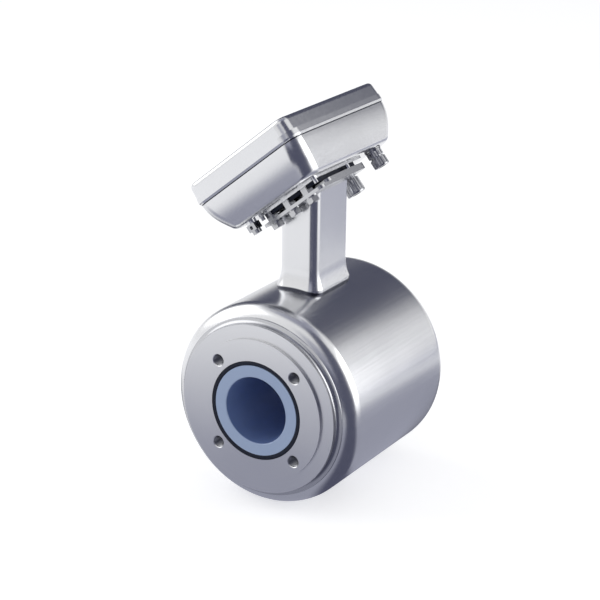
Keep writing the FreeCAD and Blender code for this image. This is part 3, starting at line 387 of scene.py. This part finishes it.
def dress_nodes():
    finishes = {
        shell_steel(): "housing_shell inlet_shoulder outlet_shoulder",
        turned_steel(): "measuring_tube inlet_end_plate outlet_end_plate",
        shaded_ring_steel(): "inlet_closing_ring outlet_closing_ring",
        neck_steel(): "neck",
        shaded_flange_steel(): "neck_flange",
        head_steel(): "transmitter_pan cover",
        liner_plastic(): "liner",
        rubber(): "inlet_seal outlet_seal neck_grommet flange_gasket cover_gasket window_gasket "
                  "power_gland_seal signal_gland_seal",
        alloy(): "right_electrode left_electrode full_pipe_electrode reference_electrode",
        plastic("white_plastic", (0.78, 0.78, 0.75), (0.86, 0.86, 0.83), 0.45)[0]:
            "electrode_bushes upper_bobbin lower_bobbin window_frame",
        fastener_steel(): "electrode_springs electrode_nuts flange_bolts flange_washers "
                          "flange_spacers cover_screws board_screws earth_screw gland_washers",
        soft_iron(): "upper_pole_shoe lower_pole_shoe upper_core lower_core yoke_ring",
        copper_winding(): "upper_coil lower_coil",
        window_glass(): "display_window",
        display_dark(): "display_screen",
        board_green(): "display_board main_board terminal_board",
        nickel(): "display_posts board_standoffs power_gland_body power_gland_nut "
                  "signal_gland_body signal_gland_nut earth_clamp",
        plastic("terminal_plastic", (0.07, 0.27, 0.15), (0.10, 0.33, 0.19), 0.4)[0]:
            "terminal_blocks",
    }
    for material, names in finishes.items():
        for name in names.split():
            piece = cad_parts[name]
            if not piece.material_slots:
                piece.data.materials.append(material)
            for slot in piece.material_slots:
                slot.material = material


dress_nodes()


# Forms finished here: softer creases, wider thread mouths, coves and flutes, on copies of the CAD
# pieces or in their place. All lengths in this section are in millimetres

MM = 0.001
SKIN = 0.06
CLEAR = 1.0
ROUND_STEPS = 48

# Sizes of the two ends

ENDS = (("inlet", -1), ("outlet", 1))
FACE_Y = 73.5
RAISED_R = 50.8
STEP_DEPTH = 2.0
PLATE_R = 59.9
RING_R = 63.6
RING_FRONT = 66.5
RING_DEPTH = 2.2
RING_LIP = 0.4
COVE_LAND = 0.2
RING_EDGE = ((-0.15, -0.06), (0.05, -0.5), (0.5, -RING_DEPTH))
BOLT_CIRCLE_R = 42.5
BOLT_ANGLES = [math.radians(45 + 90 * place) for place in range(4)]
THREAD_R = 4.0
HOLE_DEPTH = 14.0
MOUTH_R = 4.5
MOUTH_DEPTH = 0.45

# Sizes of the head, in its own frame: on top of the neck, and tilted about the flow axis

NECK_TOP = 129.7
HEAD_TILT = 39.2
HEAD_X = 5.4
HEAD_SIZE = (98.0, 126.0)
HEAD_CORNER = 11.0
PAN_BOTTOM = 8.5
PAN_CREASE = 24.1
PAN_SEAM = 33.9
BOTTOM_INSET = 8.7
CREASE_INSET = 1.5
SEAM_INSET = 0.7
CREASE_RADIUS = 46.0
EDGE_RADIUS = 5.0
EARTH_PLACE = (-21.2, -46.3)
EARTH_KEEP_R = 3.8
EARTH_ROOT_R = 3.9

# Sizes of the joint between the neck flange and the pan

FLANGE_TOP = 4.6
FLANGE_BACK = 24.7
LIP_FRONT = -35.2
LIP_TOP = 2.2
FLANGE_BOLTS = [(2.0 + 17.6 * i, LIP_FRONT + 5.3) for i in (-1, 0, 1)]
BOLT_HOLE_R = 2.6
PAD_LOW = 7.3
PAD_X = HEAD_X + 2.0
PAD_OVERHANG = 3.0
PAD_Y = (FLANGE_BACK + LIP_FRONT - PAD_OVERHANG) / 2
PAD_WIDTH = 56.0
PAD_LENGTH = FLANGE_BACK - LIP_FRONT + PAD_OVERHANG
PAD_CORNER = 3.5
PAD_GAP = 0.2
OLD_PAD = (62.0, 70.0)
OLD_PAD_CORNER = 1.0
PILLAR_R = 1.6
PILLAR_ROOT = 0.6
PILLAR_INSET = 1.7
PILLAR_MIDDLE = 20.0
PASSAGE = (22.0, 30.0)
PASSAGE_CORNER = 4.0
PASSAGE_GAP = 0.1
GASKET_WIDTH = 46.0
GASKET_SETBACK = 10.0
GASKET_CORNER = 1.75
GASKET_LIFT = 0.5
GASKET_STEP = (43.0, 39.4)
GASKET_STEP_CORNER = 4.0
GASKET_STEP_HEIGHT = 1.0
SPACER_POCKET_R = 4.87
SPACER_HALF_WIDTH = 4.0
SPACER_BORE_R = 2.75

# Sizes of the glands: place along X, diameter and height of the cap nut of each; the rest are shares

GLANDS = (("power", 8.2, 13.8, 11.0), ("signal", 37.8, 11.4, 6.6))
GLAND_Y = 35.5
GLAND_SEAT = PAN_BOTTOM - 1.0
GLAND_TOP = PAN_BOTTOM + 3.6
GLAND_BORE = 0.64
GLAND_THREAD = 0.8
COLLAR_HEIGHT = 0.42
COLLAR_GRIP = (0.13, 0.10)
COLLAR_EDGES = (0.4, 0.3)
TAIL_LENGTH = 0.48
NUT_GAP = 0.08
NUT_DEPTH = 0.4
NUT_DEPTH_GAP = 0.05
NUT_MOUTH = 0.48
NUT_EDGES = (0.4, 0.7, 0.2)
FLUTES = 20
FLUTE_STEPS = 10
FLUTE_R = 0.6
FLUTE_DEPTH = 0.3


def solid_object(name, mesh):
    """Object from a mesh in millimetres, with its faces turned outwards."""
    bmesh.ops.recalc_face_normals(mesh, faces=mesh.faces)
    bmesh.ops.scale(mesh, vec=(MM, MM, MM), verts=mesh.verts)
    return mesh_object(name, mesh)


def loops_solid(name, loops, ring=False):
    """Closed solid through loops of points: capped at both ends, or joined end to end as a ring."""
    mesh = bmesh.new()
    rows = [[mesh.verts.new(point) for point in loop] for loop in loops]
    pairs = list(zip(rows, rows[1:]))
    if ring:
        pairs.append((rows[-1], rows[0]))
    for low, high in pairs:
        for k in range(len(low)):
            after = (k + 1) % len(low)
            mesh.faces.new((low[k], low[after], high[after], high[k]))
    if not ring:
        mesh.faces.new(rows[0])
        mesh.faces.new(rows[-1])
    return solid_object(name, mesh)


def about_flow(name, outline, side, steps=256):
    """Ring turned about the flow axis from (radius, y) points."""
    loops = []
    for i in range(steps):
        turn = 2 * math.pi * i / steps
        loops.append([(r * math.cos(turn), side * y, r * math.sin(turn)) for r, y in outline])
    return loops_solid(name, loops, ring=True)


def arc(centre, radius, start, end, steps):
    """Points of an arc; start and end in degrees."""
    points = []
    for i in range(steps + 1):
        angle = math.radians(start + (end - start) * i / steps)
        points.append((centre[0] + radius * math.cos(angle), centre[1] + radius * math.sin(angle)))
    return points


def from_head(x, y, z):
    """Point of the head's own frame in the meter's frame."""
    c = math.cos(math.radians(HEAD_TILT))
    s = math.sin(math.radians(HEAD_TILT))
    return (x * c - z * s, y, x * s + z * c + NECK_TOP)


def round_loop(x, y, radii, z):
    """Loop about an upright axis in the head's frame, one radius a step."""
    steps = len(radii)
    loop = []
    for k, radius in enumerate(radii):
        turn = 2 * math.pi * k / steps
        loop.append(from_head(x + radius * math.cos(turn), y + radius * math.sin(turn), z))
    return loop


def post(name, x, y, radius, low, high, steps=24):
    """Upright cylinder in the head's frame."""
    return loops_solid(name, [round_loop(x, y, [radius] * steps, z) for z in (low, high)])


def rounded_loop(width, length, corner, x, y, z, steps=12):
    """Rounded rectangle around a point of the head's frame."""
    loop = []
    for sx, sy, start in ((1, 1, 0), (-1, 1, 90), (-1, -1, 180), (1, -1, 270)):
        centre = (x + sx * (width / 2 - corner), y + sy * (length / 2 - corner))
        loop += [from_head(px, py, z) for px, py in arc(centre, corner, start, start + 90, steps)]
    return loop


def plate(name, width, length, corner, x, y, low, high):
    """Rounded rectangle from one height to another in the head's frame."""
    return loops_solid(name, [rounded_loop(width, length, corner, x, y, z) for z in (low, high)])


def carve(target, tools, operation):
    """Applies the tools to the target one by one and takes them away again."""
    for tool in tools:
        change = target.modifiers.new("carve", "BOOLEAN")
        change.operation = operation
        change.solver = "EXACT"
        change.object = tool
        bpy.context.view_layer.update()
        ready = target.evaluated_get(bpy.context.evaluated_depsgraph_get())
        data = bpy.data.meshes.new_from_object(ready)
        target.modifiers.clear()
        target.data = data
        bpy.data.objects.remove(tool)
    return target


def copy_of(node, name):
    """Closed copy of a CAD node's mesh, with the vertices of neighbouring faces joined."""
    mesh = bmesh.new()
    mesh.from_mesh(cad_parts[node].data)
    mesh.transform(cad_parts[node].matrix_world)
    bmesh.ops.remove_doubles(mesh, verts=mesh.verts, dist=0.000001)
    bmesh.ops.recalc_face_normals(mesh, faces=mesh.faces)
    return mesh_object(name, mesh)


def joined(name, items):
    """One object from several solids."""
    mesh = bmesh.new()
    for item in items:
        mesh.from_mesh(item.data)
        bpy.data.objects.remove(item)
    return mesh_object(name, mesh)


def dress(item, node, angle):
    """Shows the finished piece in place of its CAD node, with the node's own material.

    Edges that turn by less than the angle, in degrees, are shaded smooth."""
    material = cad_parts[node].material_slots[0].material
    data = item.data
    data.materials.clear()
    data.materials.append(material)
    for face in data.polygons:
        face.material_index = 0
    mesh = bmesh.new()
    mesh.from_mesh(data)
    stray = [face for face in mesh.faces if all(len(edge.link_faces) == 1 for edge in face.edges)]
    bmesh.ops.delete(mesh, geom=stray, context="FACES")
    limit = math.radians(angle)
    for face in mesh.faces:
        face.smooth = True
    for edge in mesh.edges:
        edge.smooth = len(edge.link_faces) == 2 and edge.calc_face_angle(0.0) < limit
    mesh.to_mesh(data)
    mesh.free()
    flat = item.modifiers.new("flat", "WEIGHTED_NORMAL")
    flat.keep_sharp = True
    flat.weight = 100
    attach(item, "root")
    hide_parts(node)


def bolt_place(angle):
    """X and Z of a threaded hole."""
    return BOLT_CIRCLE_R * math.cos(angle), BOLT_CIRCLE_R * math.sin(angle)


def step_tool(side):
    """Ring that cuts the end plate back around its raised face."""
    inside = RAISED_R - 4 * SKIN
    outside = PLATE_R + 2 * CLEAR
    front = FACE_Y + CLEAR
    back = RING_FRONT - 3 * CLEAR
    outline = [(inside, front), (inside, FACE_Y - STEP_DEPTH), (PLATE_R, FACE_Y - STEP_DEPTH),
               (PLATE_R, back), (outside, back), (outside, front)]
    return about_flow("step", outline, side)


def mouth_tool(angle, side):
    """Threaded hole at its full width, with a chamfered mouth."""
    x, z = bolt_place(angle)
    turns = [2 * math.pi * k / ROUND_STEPS for k in range(ROUND_STEPS)]
    loops = []
    for radius, y in ((MOUTH_R + CLEAR, FACE_Y + CLEAR), (MOUTH_R, FACE_Y),
                      (THREAD_R, FACE_Y - MOUTH_DEPTH), (THREAD_R, FACE_Y - HOLE_DEPTH)):
        loops.append([(x + radius * math.cos(turn), side * y, z + radius * math.sin(turn))
                      for turn in turns])
    return loops_solid("mouth", loops)


def finish_end(end, side):
    """End plate with a clear step around its raised face and full-width mouths."""
    item = copy_of(end + "_end_plate", end + "_end_plate_turned")
    tools = [step_tool(side)] + [mouth_tool(angle, side) for angle in BOLT_ANGLES]
    dress(carve(item, tools, "DIFFERENCE"), end + "_end_plate", 20.0)


def finish_ring(end, side):
    """Closing ring with a hollow cove beside the end plate."""
    cove = RING_R - RING_LIP - PLATE_R - COVE_LAND
    outline = [(PLATE_R, RING_FRONT - RING_DEPTH), (PLATE_R, RING_FRONT + cove)]
    outline += arc((PLATE_R + COVE_LAND + cove, RING_FRONT + cove), cove, 180, 270, 10)
    outline += [(RING_R + out, RING_FRONT + along) for out, along in RING_EDGE]
    dress(about_flow(end + "_closing_ring_turned", outline, side), end + "_closing_ring", 30.0)


def soft_corner(inset, height, radius, start, end, steps):
    """Points (inset, height) round a corner of the pan's wall, whose lean goes from start to end."""
    reach = radius * math.tan((end - start) / 2)
    first = (inset - reach * math.sin(start), height + reach * math.cos(start))
    points = []
    for i in range(steps + 1):
        lean = start + (end - start) * i / steps
        points.append((first[0] + radius * (math.cos(start) - math.cos(lean)),
                       first[1] - radius * (math.sin(lean) - math.sin(start))))
    return points


def soft_pan_body(name):
    """Outer form of the pan with a broad soft crease and a round bottom edge, as one full block."""
    lower = math.atan2(BOTTOM_INSET - CREASE_INSET, PAN_CREASE - PAN_BOTTOM)
    upper = math.atan2(CREASE_INSET - SEAM_INSET, PAN_SEAM - PAN_CREASE)
    profile = [(SEAM_INSET + SKIN, PAN_SEAM + CLEAR)]
    for inset, height in soft_corner(CREASE_INSET, PAN_CREASE, CREASE_RADIUS, upper, lower, 14):
        profile.append((inset + SKIN, height))
    for inset, height in soft_corner(BOTTOM_INSET, PAN_BOTTOM, EDGE_RADIUS, lower, math.pi / 2, 8):
        profile.append((inset + SKIN, height + SKIN))
    loops = []
    for inset, z in profile:
        width, length = (size - 2 * inset for size in HEAD_SIZE)
        loops.append(rounded_loop(width, length, HEAD_CORNER, HEAD_X, 0, z))
    return loops_solid(name, loops)


def pillar_places():
    """Six places around the pad's edge."""
    reach = PAD_WIDTH / 2 - PILLAR_INSET
    along = (LIP_FRONT - PAD_OVERHANG + PILLAR_INSET, FLANGE_BACK - PILLAR_MIDDLE,
             FLANGE_BACK - PILLAR_INSET)
    return [(PAD_X + side * reach, y) for side in (-1, 1) for y in along]


def finish_pan():
    """Pan with softer creases above a thin pad, which stands on six posts around its gasket."""
    inside = PAN_BOTTOM + CLEAR
    old_pad = plate("old_pad", *OLD_PAD, OLD_PAD_CORNER, PAD_X, FLANGE_BACK + CLEAR - OLD_PAD[1] / 2,
                    FLANGE_TOP - CLEAR, PAN_BOTTOM - SKIN)
    boss = post("boss", *EARTH_PLACE, EARTH_KEEP_R, FLANGE_TOP - 2 * CLEAR, inside, ROUND_STEPS)
    skin = copy_of("transmitter_pan", "transmitter_pan_soft")
    skin = carve(skin, [carve(old_pad, [boss], "DIFFERENCE")], "DIFFERENCE")
    below = plate("below", PAD_WIDTH + 2 * PAD_GAP, PAD_LENGTH + 2 * PAD_GAP, PAD_CORNER + PAD_GAP,
                  PAD_X, PAD_Y, 0.0, inside)
    root = post("root", *EARTH_PLACE, EARTH_ROOT_R, FLANGE_TOP, inside, ROUND_STEPS)
    shape = carve(soft_pan_body("shape"), [below, root], "UNION")
    skin = carve(skin, [shape], "INTERSECT")
    pad = plate("pad", PAD_WIDTH, PAD_LENGTH, PAD_CORNER, PAD_X, PAD_Y, PAD_LOW, inside)
    width, length = (size + 2 * PASSAGE_GAP for size in PASSAGE)
    cuts = [plate("passage", width, length, PASSAGE_CORNER + PASSAGE_GAP, 0.0, 0.0,
                  FLANGE_TOP, PAN_BOTTOM + 2 * CLEAR)]
    for x, y in FLANGE_BOLTS:
        cuts.append(post("hole", x, y, BOLT_HOLE_R, FLANGE_TOP, PAN_BOTTOM + 2 * CLEAR))
    added = [carve(pad, cuts, "DIFFERENCE")]
    for x, y in pillar_places():
        added.append(post("pillar", x, y, PILLAR_R, FLANGE_TOP, PAN_BOTTOM + PILLAR_ROOT))
    dress(carve(skin, added, "UNION"), "transmitter_pan", 24.0)


def finish_gasket():
    """Moulded black gasket set back under the pad, with a step on the flange. Its dark block fills the
    gap up to the pad, so it also stands in for the shade in that gap.
    """
    block = plate("flange_gasket_moulded", GASKET_WIDTH, PAD_LENGTH - GASKET_SETBACK, GASKET_CORNER,
                  PAD_X, PAD_Y, FLANGE_TOP + GASKET_LIFT, PAD_LOW)
    step = plate("step", *GASKET_STEP, GASKET_STEP_CORNER, PAD_X, 0.0,
                 FLANGE_TOP, FLANGE_TOP + GASKET_STEP_HEIGHT)
    block = carve(block, [step], "UNION")
    low, high = FLANGE_TOP - CLEAR, PAD_LOW + CLEAR
    cuts = [plate("passage", *PASSAGE, PASSAGE_CORNER, 0.0, 0.0, low, high)]
    for x, y in FLANGE_BOLTS:
        cuts.append(post("hole", x, y, SPACER_POCKET_R, low, high, ROUND_STEPS))
    dress(carve(block, cuts, "DIFFERENCE"), "flange_gasket", 30.0)


def finish_spacers():
    """Hexagonal spacers around the flange bolts, from the lip to the pad."""
    hexagon = []
    for k in range(ROUND_STEPS):
        lean = (360.0 / ROUND_STEPS * k) % 60.0 - 30.0
        hexagon.append(SPACER_HALF_WIDTH / math.cos(math.radians(lean)))
    bore = [SPACER_BORE_R] * ROUND_STEPS
    spacers = []
    for x, y in FLANGE_BOLTS:
        loops = [round_loop(x, y, hexagon, LIP_TOP), round_loop(x, y, hexagon, PAD_LOW),
                 round_loop(x, y, bore, PAD_LOW), round_loop(x, y, bore, LIP_TOP)]
        spacers.append(loops_solid("spacer", loops, ring=True))
    dress(joined("flange_spacers_tall", spacers), "flange_spacers", 25.0)


def fluted(radius):
    """Radii around a barrel with fine upright flutes."""
    lift = FLUTE_R - FLUTE_DEPTH
    half_chord = math.sqrt(FLUTE_R ** 2 - lift ** 2)
    radii = []
    for k in range(FLUTES * FLUTE_STEPS):
        turn = (k % FLUTE_STEPS) / FLUTE_STEPS - 0.5
        chord = abs(turn) * 2 * math.pi * radius / FLUTES
        if chord < half_chord:
            radii.append(radius + lift - math.sqrt(FLUTE_R ** 2 - chord ** 2))
        else:
            radii.append(radius)
    return radii


def barrel(name, x, outline):
    """Solid of a gland through (radius, z, fluted or not)."""
    plain = FLUTES * FLUTE_STEPS
    loops = [round_loop(x, GLAND_Y, fluted(r) if grip else [r] * plain, z) for r, z, grip in outline]
    return loops_solid(name, loops, ring=True)


def finish_glands():
    """Both glands as fluted barrels: a collar on the pan and a cap nut below it."""
    for kind, x, size, height in GLANDS:
        r = size / 2
        bore = GLAND_BORE * r
        thread_r = GLAND_THREAD * r
        low = GLAND_SEAT - COLLAR_HEIGHT * size
        tail = low - TAIL_LENGTH * size
        foot, rim = COLLAR_EDGES
        grip_end, plain_start = (GLAND_SEAT - share * size for share in COLLAR_GRIP)
        outline = [(bore, tail, False), (thread_r, tail, False), (thread_r, low, False),
                   (r - foot, low, False), (r, low + foot, True), (r, grip_end, True),
                   (r, plain_start, False), (r, GLAND_SEAT - rim, False),
                   (r - rim, GLAND_SEAT, False), (thread_r, GLAND_SEAT, False),
                   (thread_r, GLAND_TOP, False), (bore, GLAND_TOP, False)]
        body = barrel(kind + "_gland_body_fluted", x, outline)
        dress(body, kind + "_gland_body", 28.0)
        top = low - NUT_GAP * size
        end = top - height
        inner = top - NUT_DEPTH * size - NUT_DEPTH_GAP
        shoulder, round_out, round_in = NUT_EDGES
        outline = [(thread_r, top, False), (r - shoulder, top, False), (r, top - shoulder, True),
                   (r, end + size / 10, True), (r, end + size / 12, False),
                   (r, end + round_out, False), (r - round_in, end + round_in, False),
                   (r - round_out, end, False), (NUT_MOUTH * r, end, False),
                   (NUT_MOUTH * r, inner, False), (thread_r, inner, False)]
        nut = barrel(kind + "_gland_nut_fluted", x, outline)
        dress(nut, kind + "_gland_nut", 28.0)


for end_name, end_side in ENDS:
    finish_end(end_name, end_side)
    finish_ring(end_name, end_side)
finish_pan()
finish_gasket()
finish_spacers()
finish_glands()


# Threads in the end plates' holes

THREAD_PITCH = 1.25
THREAD_RISE = 0.65
THREAD_FILL = 0.96
THREAD_TURNS = 9
THREAD_STEPS = 36
THREAD_FADE = 20
THREAD_LEAD = 0.9
THREAD_SECTION = ((0.0, -0.5), (1.0, -0.08), (1.0, 0.08), (0.0, 0.5))

# Painted shade in the holes: the threads take the darker steel.
shaded_thread_finish = shaded_thread_steel()


def thread(name, angle, side):
    """Helical ridge on the wall of one threaded hole, which fades out at both ends."""
    x, z = bolt_place(angle)
    start = FACE_Y - THREAD_LEAD
    mesh = bmesh.new()
    rows = []
    last = THREAD_TURNS * THREAD_STEPS
    for i in range(last + 1):
        turn = 2 * math.pi * i / THREAD_STEPS
        depth = start - THREAD_PITCH * i / THREAD_STEPS
        fade = min(1.0, i / THREAD_FADE, (last - i) / THREAD_FADE)
        row = []
        for reach, lift in THREAD_SECTION:
            r = THREAD_R - THREAD_RISE * reach * fade
            y = side * (depth + lift * THREAD_PITCH * THREAD_FILL)
            row.append(mesh.verts.new((x + r * math.cos(turn), y, z + r * math.sin(turn))))
        rows.append(row)
    for low, high in zip(rows, rows[1:]):
        for k in range(len(THREAD_SECTION) - 1):
            mesh.faces.new((low[k], low[k + 1], high[k + 1], high[k]))
    piece = solid_object(name, mesh)
    piece.data.materials.append(shaded_thread_finish)
    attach(piece, "root")


for end_name, end_side in ENDS:
    for place, hole_angle in enumerate(BOLT_ANGLES):
        thread(f"{end_name}_thread_{place + 1}", hole_angle, end_side)


# Studio: pale floor, white surroundings, two soft lamps, and grey cards that only metal mirrors

FLOOR_Z = cad_low[2]
FLOOR_RADIUS = 9.0
FLOOR_GLOW = 0.53
STUDIO_CENTRE = Vector((0.0, 0.0, 0.06))


def light_path_share(nodes):
    """1 for what the camera, a mirror or glass sees, else 0."""
    path = nodes.add("LightPath").node
    seen = nodes.math("MAXIMUM", path.outputs["Is Camera Ray"], path.outputs["Is Glossy Ray"])
    return nodes.math("MAXIMUM", seen, path.outputs["Is Transmission Ray"])


def make_world():
    world = bpy.data.worlds.new("studio")
    world.use_nodes = True
    bpy.context.scene.world = world
    nodes = Nodes(world.node_tree)
    dim = world.node_tree.nodes["Background"]
    dim.inputs["Strength"].default_value = 0.5
    dim.inputs["Color"].default_value = (0.97, 0.98, 1.0, 1.0)
    seen = nodes.add("Background", Color=(1.0, 1.0, 1.0, 1.0), Strength=1.0)
    mixed = nodes.add("MixShader", i0=light_path_share(nodes), i1=dim.outputs[0], i2=seen)
    nodes.feed(world.node_tree.nodes["World Output"].inputs["Surface"], mixed)


def glowing_material(name):
    """Empty material that isn't sampled as a lamp, with the builder of its nodes."""
    material = bpy.data.materials.new(name)
    material.use_nodes = True
    material.node_tree.nodes.clear()
    material.cycles.emission_sampling = "NONE"
    return material, Nodes(material.node_tree)


def show(nodes, surface):
    """Takes the surface to the material's output."""
    output = nodes.tree.nodes.new("ShaderNodeOutputMaterial")
    nodes.feed(output.inputs["Surface"], surface)


def make_floor():
    mesh = bmesh.new()
    bmesh.ops.create_circle(mesh, cap_ends=True, radius=FLOOR_RADIUS, segments=96)
    bmesh.ops.translate(mesh, verts=mesh.verts, vec=(0.0, 0.0, FLOOR_Z))
    floor = mesh_object("floor", mesh)
    material, nodes = glowing_material("floor")
    plain = nodes.add("BsdfDiffuse", Color=(0.82, 0.82, 0.83, 1.0))
    glow = nodes.add("Emission", Color=(1.0, 1.0, 1.0, 1.0),
                     Strength=nodes.math("MULTIPLY", light_path_share(nodes), FLOOR_GLOW))
    show(nodes, nodes.add("AddShader", i0=plain, i1=glow))
    floor.data.materials.append(material)


def direction(azimuth, elevation):
    """Unit vector: azimuth 0 is towards -Y and 90 towards +X."""
    a = math.radians(azimuth)
    e = math.radians(elevation)
    return Vector((math.sin(a) * math.cos(e), -math.cos(a) * math.cos(e), math.sin(e)))


def soft_lamp(name, azimuth, elevation, distance, width, height, radiance):
    """Rectangular lamp that faces the middle of the studio."""
    data = bpy.data.lights.new(name, "AREA")
    data.shape = "RECTANGLE"
    data.size = width
    data.size_y = height
    data.energy = radiance * width * height * math.pi
    lamp = add_object(name, data)
    towards = direction(azimuth, elevation)
    lamp.location = STUDIO_CENTRE + towards * distance
    lamp.rotation_mode = "QUATERNION"
    lamp.rotation_quaternion = towards.to_track_quat("Z", "Y")


def card_material(name, tone, feathers):
    """Plain glow that fades to nothing towards the card's edges."""
    material, nodes = glowing_material(name)
    place = nodes.parts(nodes.add("TexCoord", output=UV_OUTPUT))
    share = 1.0
    for axis, (first, last) in enumerate(feathers):
        here = place[axis]
        if first > 0:
            share = nodes.math("MULTIPLY", share, nodes.spread(here, 0.0, first))
        if last > 0:
            left = nodes.math("SUBTRACT", 1.0, here)
            share = nodes.math("MULTIPLY", share, nodes.spread(left, 0.0, last))
    paint = nodes.add("Emission", Color=(*tone, 1.0), Strength=1.0)
    clear = nodes.add("BsdfTransparent")
    show(nodes, nodes.add("MixShader", i0=share, i1=clear, i2=paint))
    return material


def card(name, place, columns, rows, tone, feathers):
    """Curved card through place(u, v), seen only in reflections.

    feathers are the shares of its width and of its height over which it fades at either end."""
    mesh = bmesh.new()
    layer = mesh.loops.layers.uv.new("place")
    grid = [[mesh.verts.new(place(i / columns, j / rows)) for j in range(rows + 1)]
            for i in range(columns + 1)]
    for i in range(columns):
        for j in range(rows):
            corners = ((i, j), (i + 1, j), (i + 1, j + 1), (i, j + 1))
            face = mesh.faces.new([grid[a][b] for a, b in corners])
            for loop, (a, b) in zip(face.loops, corners):
                loop[layer].uv = (a / columns, b / rows)
    item = mesh_object(name, mesh)
    item.data.materials.append(card_material(name, tone, feathers))
    item.visible_camera = False
    item.visible_diffuse = False
    item.visible_shadow = False
    item.visible_transmission = False
    item.visible_volume_scatter = False


def shares(span, fades):
    """Fades at both ends of a span, as shares of it."""
    width = abs(span[1] - span[0])
    return tuple(fade / width for fade in fades)


def standing_card(name, azimuths, elevations, tone, sides, ends=(0.0, 15.0), distance=1.25):
    """Upright card around the object; all its sizes and its fading edges are in degrees."""
    def place(u, v):
        azimuth = azimuths[0] + (azimuths[1] - azimuths[0]) * u
        elevation = elevations[0] + (elevations[1] - elevations[0]) * v
        return STUDIO_CENTRE + direction(azimuth, elevation) * distance
    card(name, place, 24, 16, tone, (shares(azimuths, sides), shares(elevations, ends)))


def lying_card(name, azimuths, radii, tone, lift, sides, ends):
    """Level card, lift above the floor.

    Its edges fade over degrees at its sides and over metres at its ends."""
    def place(u, v):
        azimuth = azimuths[0] + (azimuths[1] - azimuths[0]) * u
        radius = radii[0] + (radii[1] - radii[0]) * v
        return Vector((0.0, 0.0, FLOOR_Z + lift)) + direction(azimuth, 0.0) * radius
    card(name, place, 32, 8, tone, (shares(azimuths, sides), shares(radii, ends)))


DARK = (0.10, 0.105, 0.16)
DIM = (0.085, 0.09, 0.135)
GREY = (0.38, 0.39, 0.475)
PALE = (0.50, 0.51, 0.60)


def make_studio():
    make_world()
    make_floor()
    soft_lamp("right_lamp", 117.0, 14.0, 1.5, 1.25, 1.3, 1.75)
    soft_lamp("left_lamp", -75.0, 30.0, 1.6, 1.7, 1.3, 1.15)
    standing_card("front_right_card", (24.0, 90.0), (-6.0, 78.0), DARK, sides=(12.0, 12.0))
    standing_card("front_low_card", (-8.0, 100.0), (-6.0, 12.0), DARK,
                  sides=(12.0, 10.0), ends=(0.0, 10.0), distance=1.2)
    standing_card("front_card", (-10.0, 36.0), (-6.0, 44.0), GREY,
                  sides=(14.0, 8.0), ends=(0.0, 24.0), distance=1.3)
    standing_card("back_card", (138.0, 218.0), (2.0, 66.0), DIM, sides=(26.0, 8.0), ends=(22.0, 20.0))
    standing_card("back_left_card", (204.0, 262.0), (0.0, 66.0), DIM,
                  sides=(8.0, 24.0), ends=(8.0, 20.0), distance=1.3)
    standing_card("right_edge_card", (138.0, 146.0), (-12.0, 28.0), DARK,
                  sides=(3.0, 3.0), ends=(6.0, 8.0), distance=1.35)
    lying_card("ceiling_card", (0.0, 360.0), (0.0, 0.85), GREY, 1.4, sides=(0.0, 0.0), ends=(0.0, 0.35))
    # The next three level cards, close around the object: painted shade of the floor, seen only in
    # reflections.
    lying_card("front_floor_card", (-75.0, 60.0), (0.02, 0.42), GREY, 0.0004,
               sides=(30.0, 20.0), ends=(0.0, 0.20))
    lying_card("right_floor_card", (60.0, 172.0), (0.02, 0.56), GREY, 0.0005,
               sides=(20.0, 30.0), ends=(0.0, 0.30))
    lying_card("back_floor_card", (140.0, 300.0), (0.02, 0.34), DIM, 0.0006,
               sides=(20.0, 40.0), ends=(0.0, 0.20))
    lying_card("far_back_floor_card", (125.0, 190.0), (0.44, 1.20), PALE, 0.0003, sides=(20.0, 20.0),
               ends=(0.12, 0.10))
    lying_card("front_right_floor_card", (28.0, 88.0), (0.02, 0.50), DARK, 0.0008, sides=(14.0, 14.0),
               ends=(0.0, 0.10))
    lying_card("far_front_right_floor_card", (-12.0, 100.0), (0.30, 1.25), DARK, 0.0010,
               sides=(14.0, 14.0), ends=(0.12, 0.05))


make_studio()
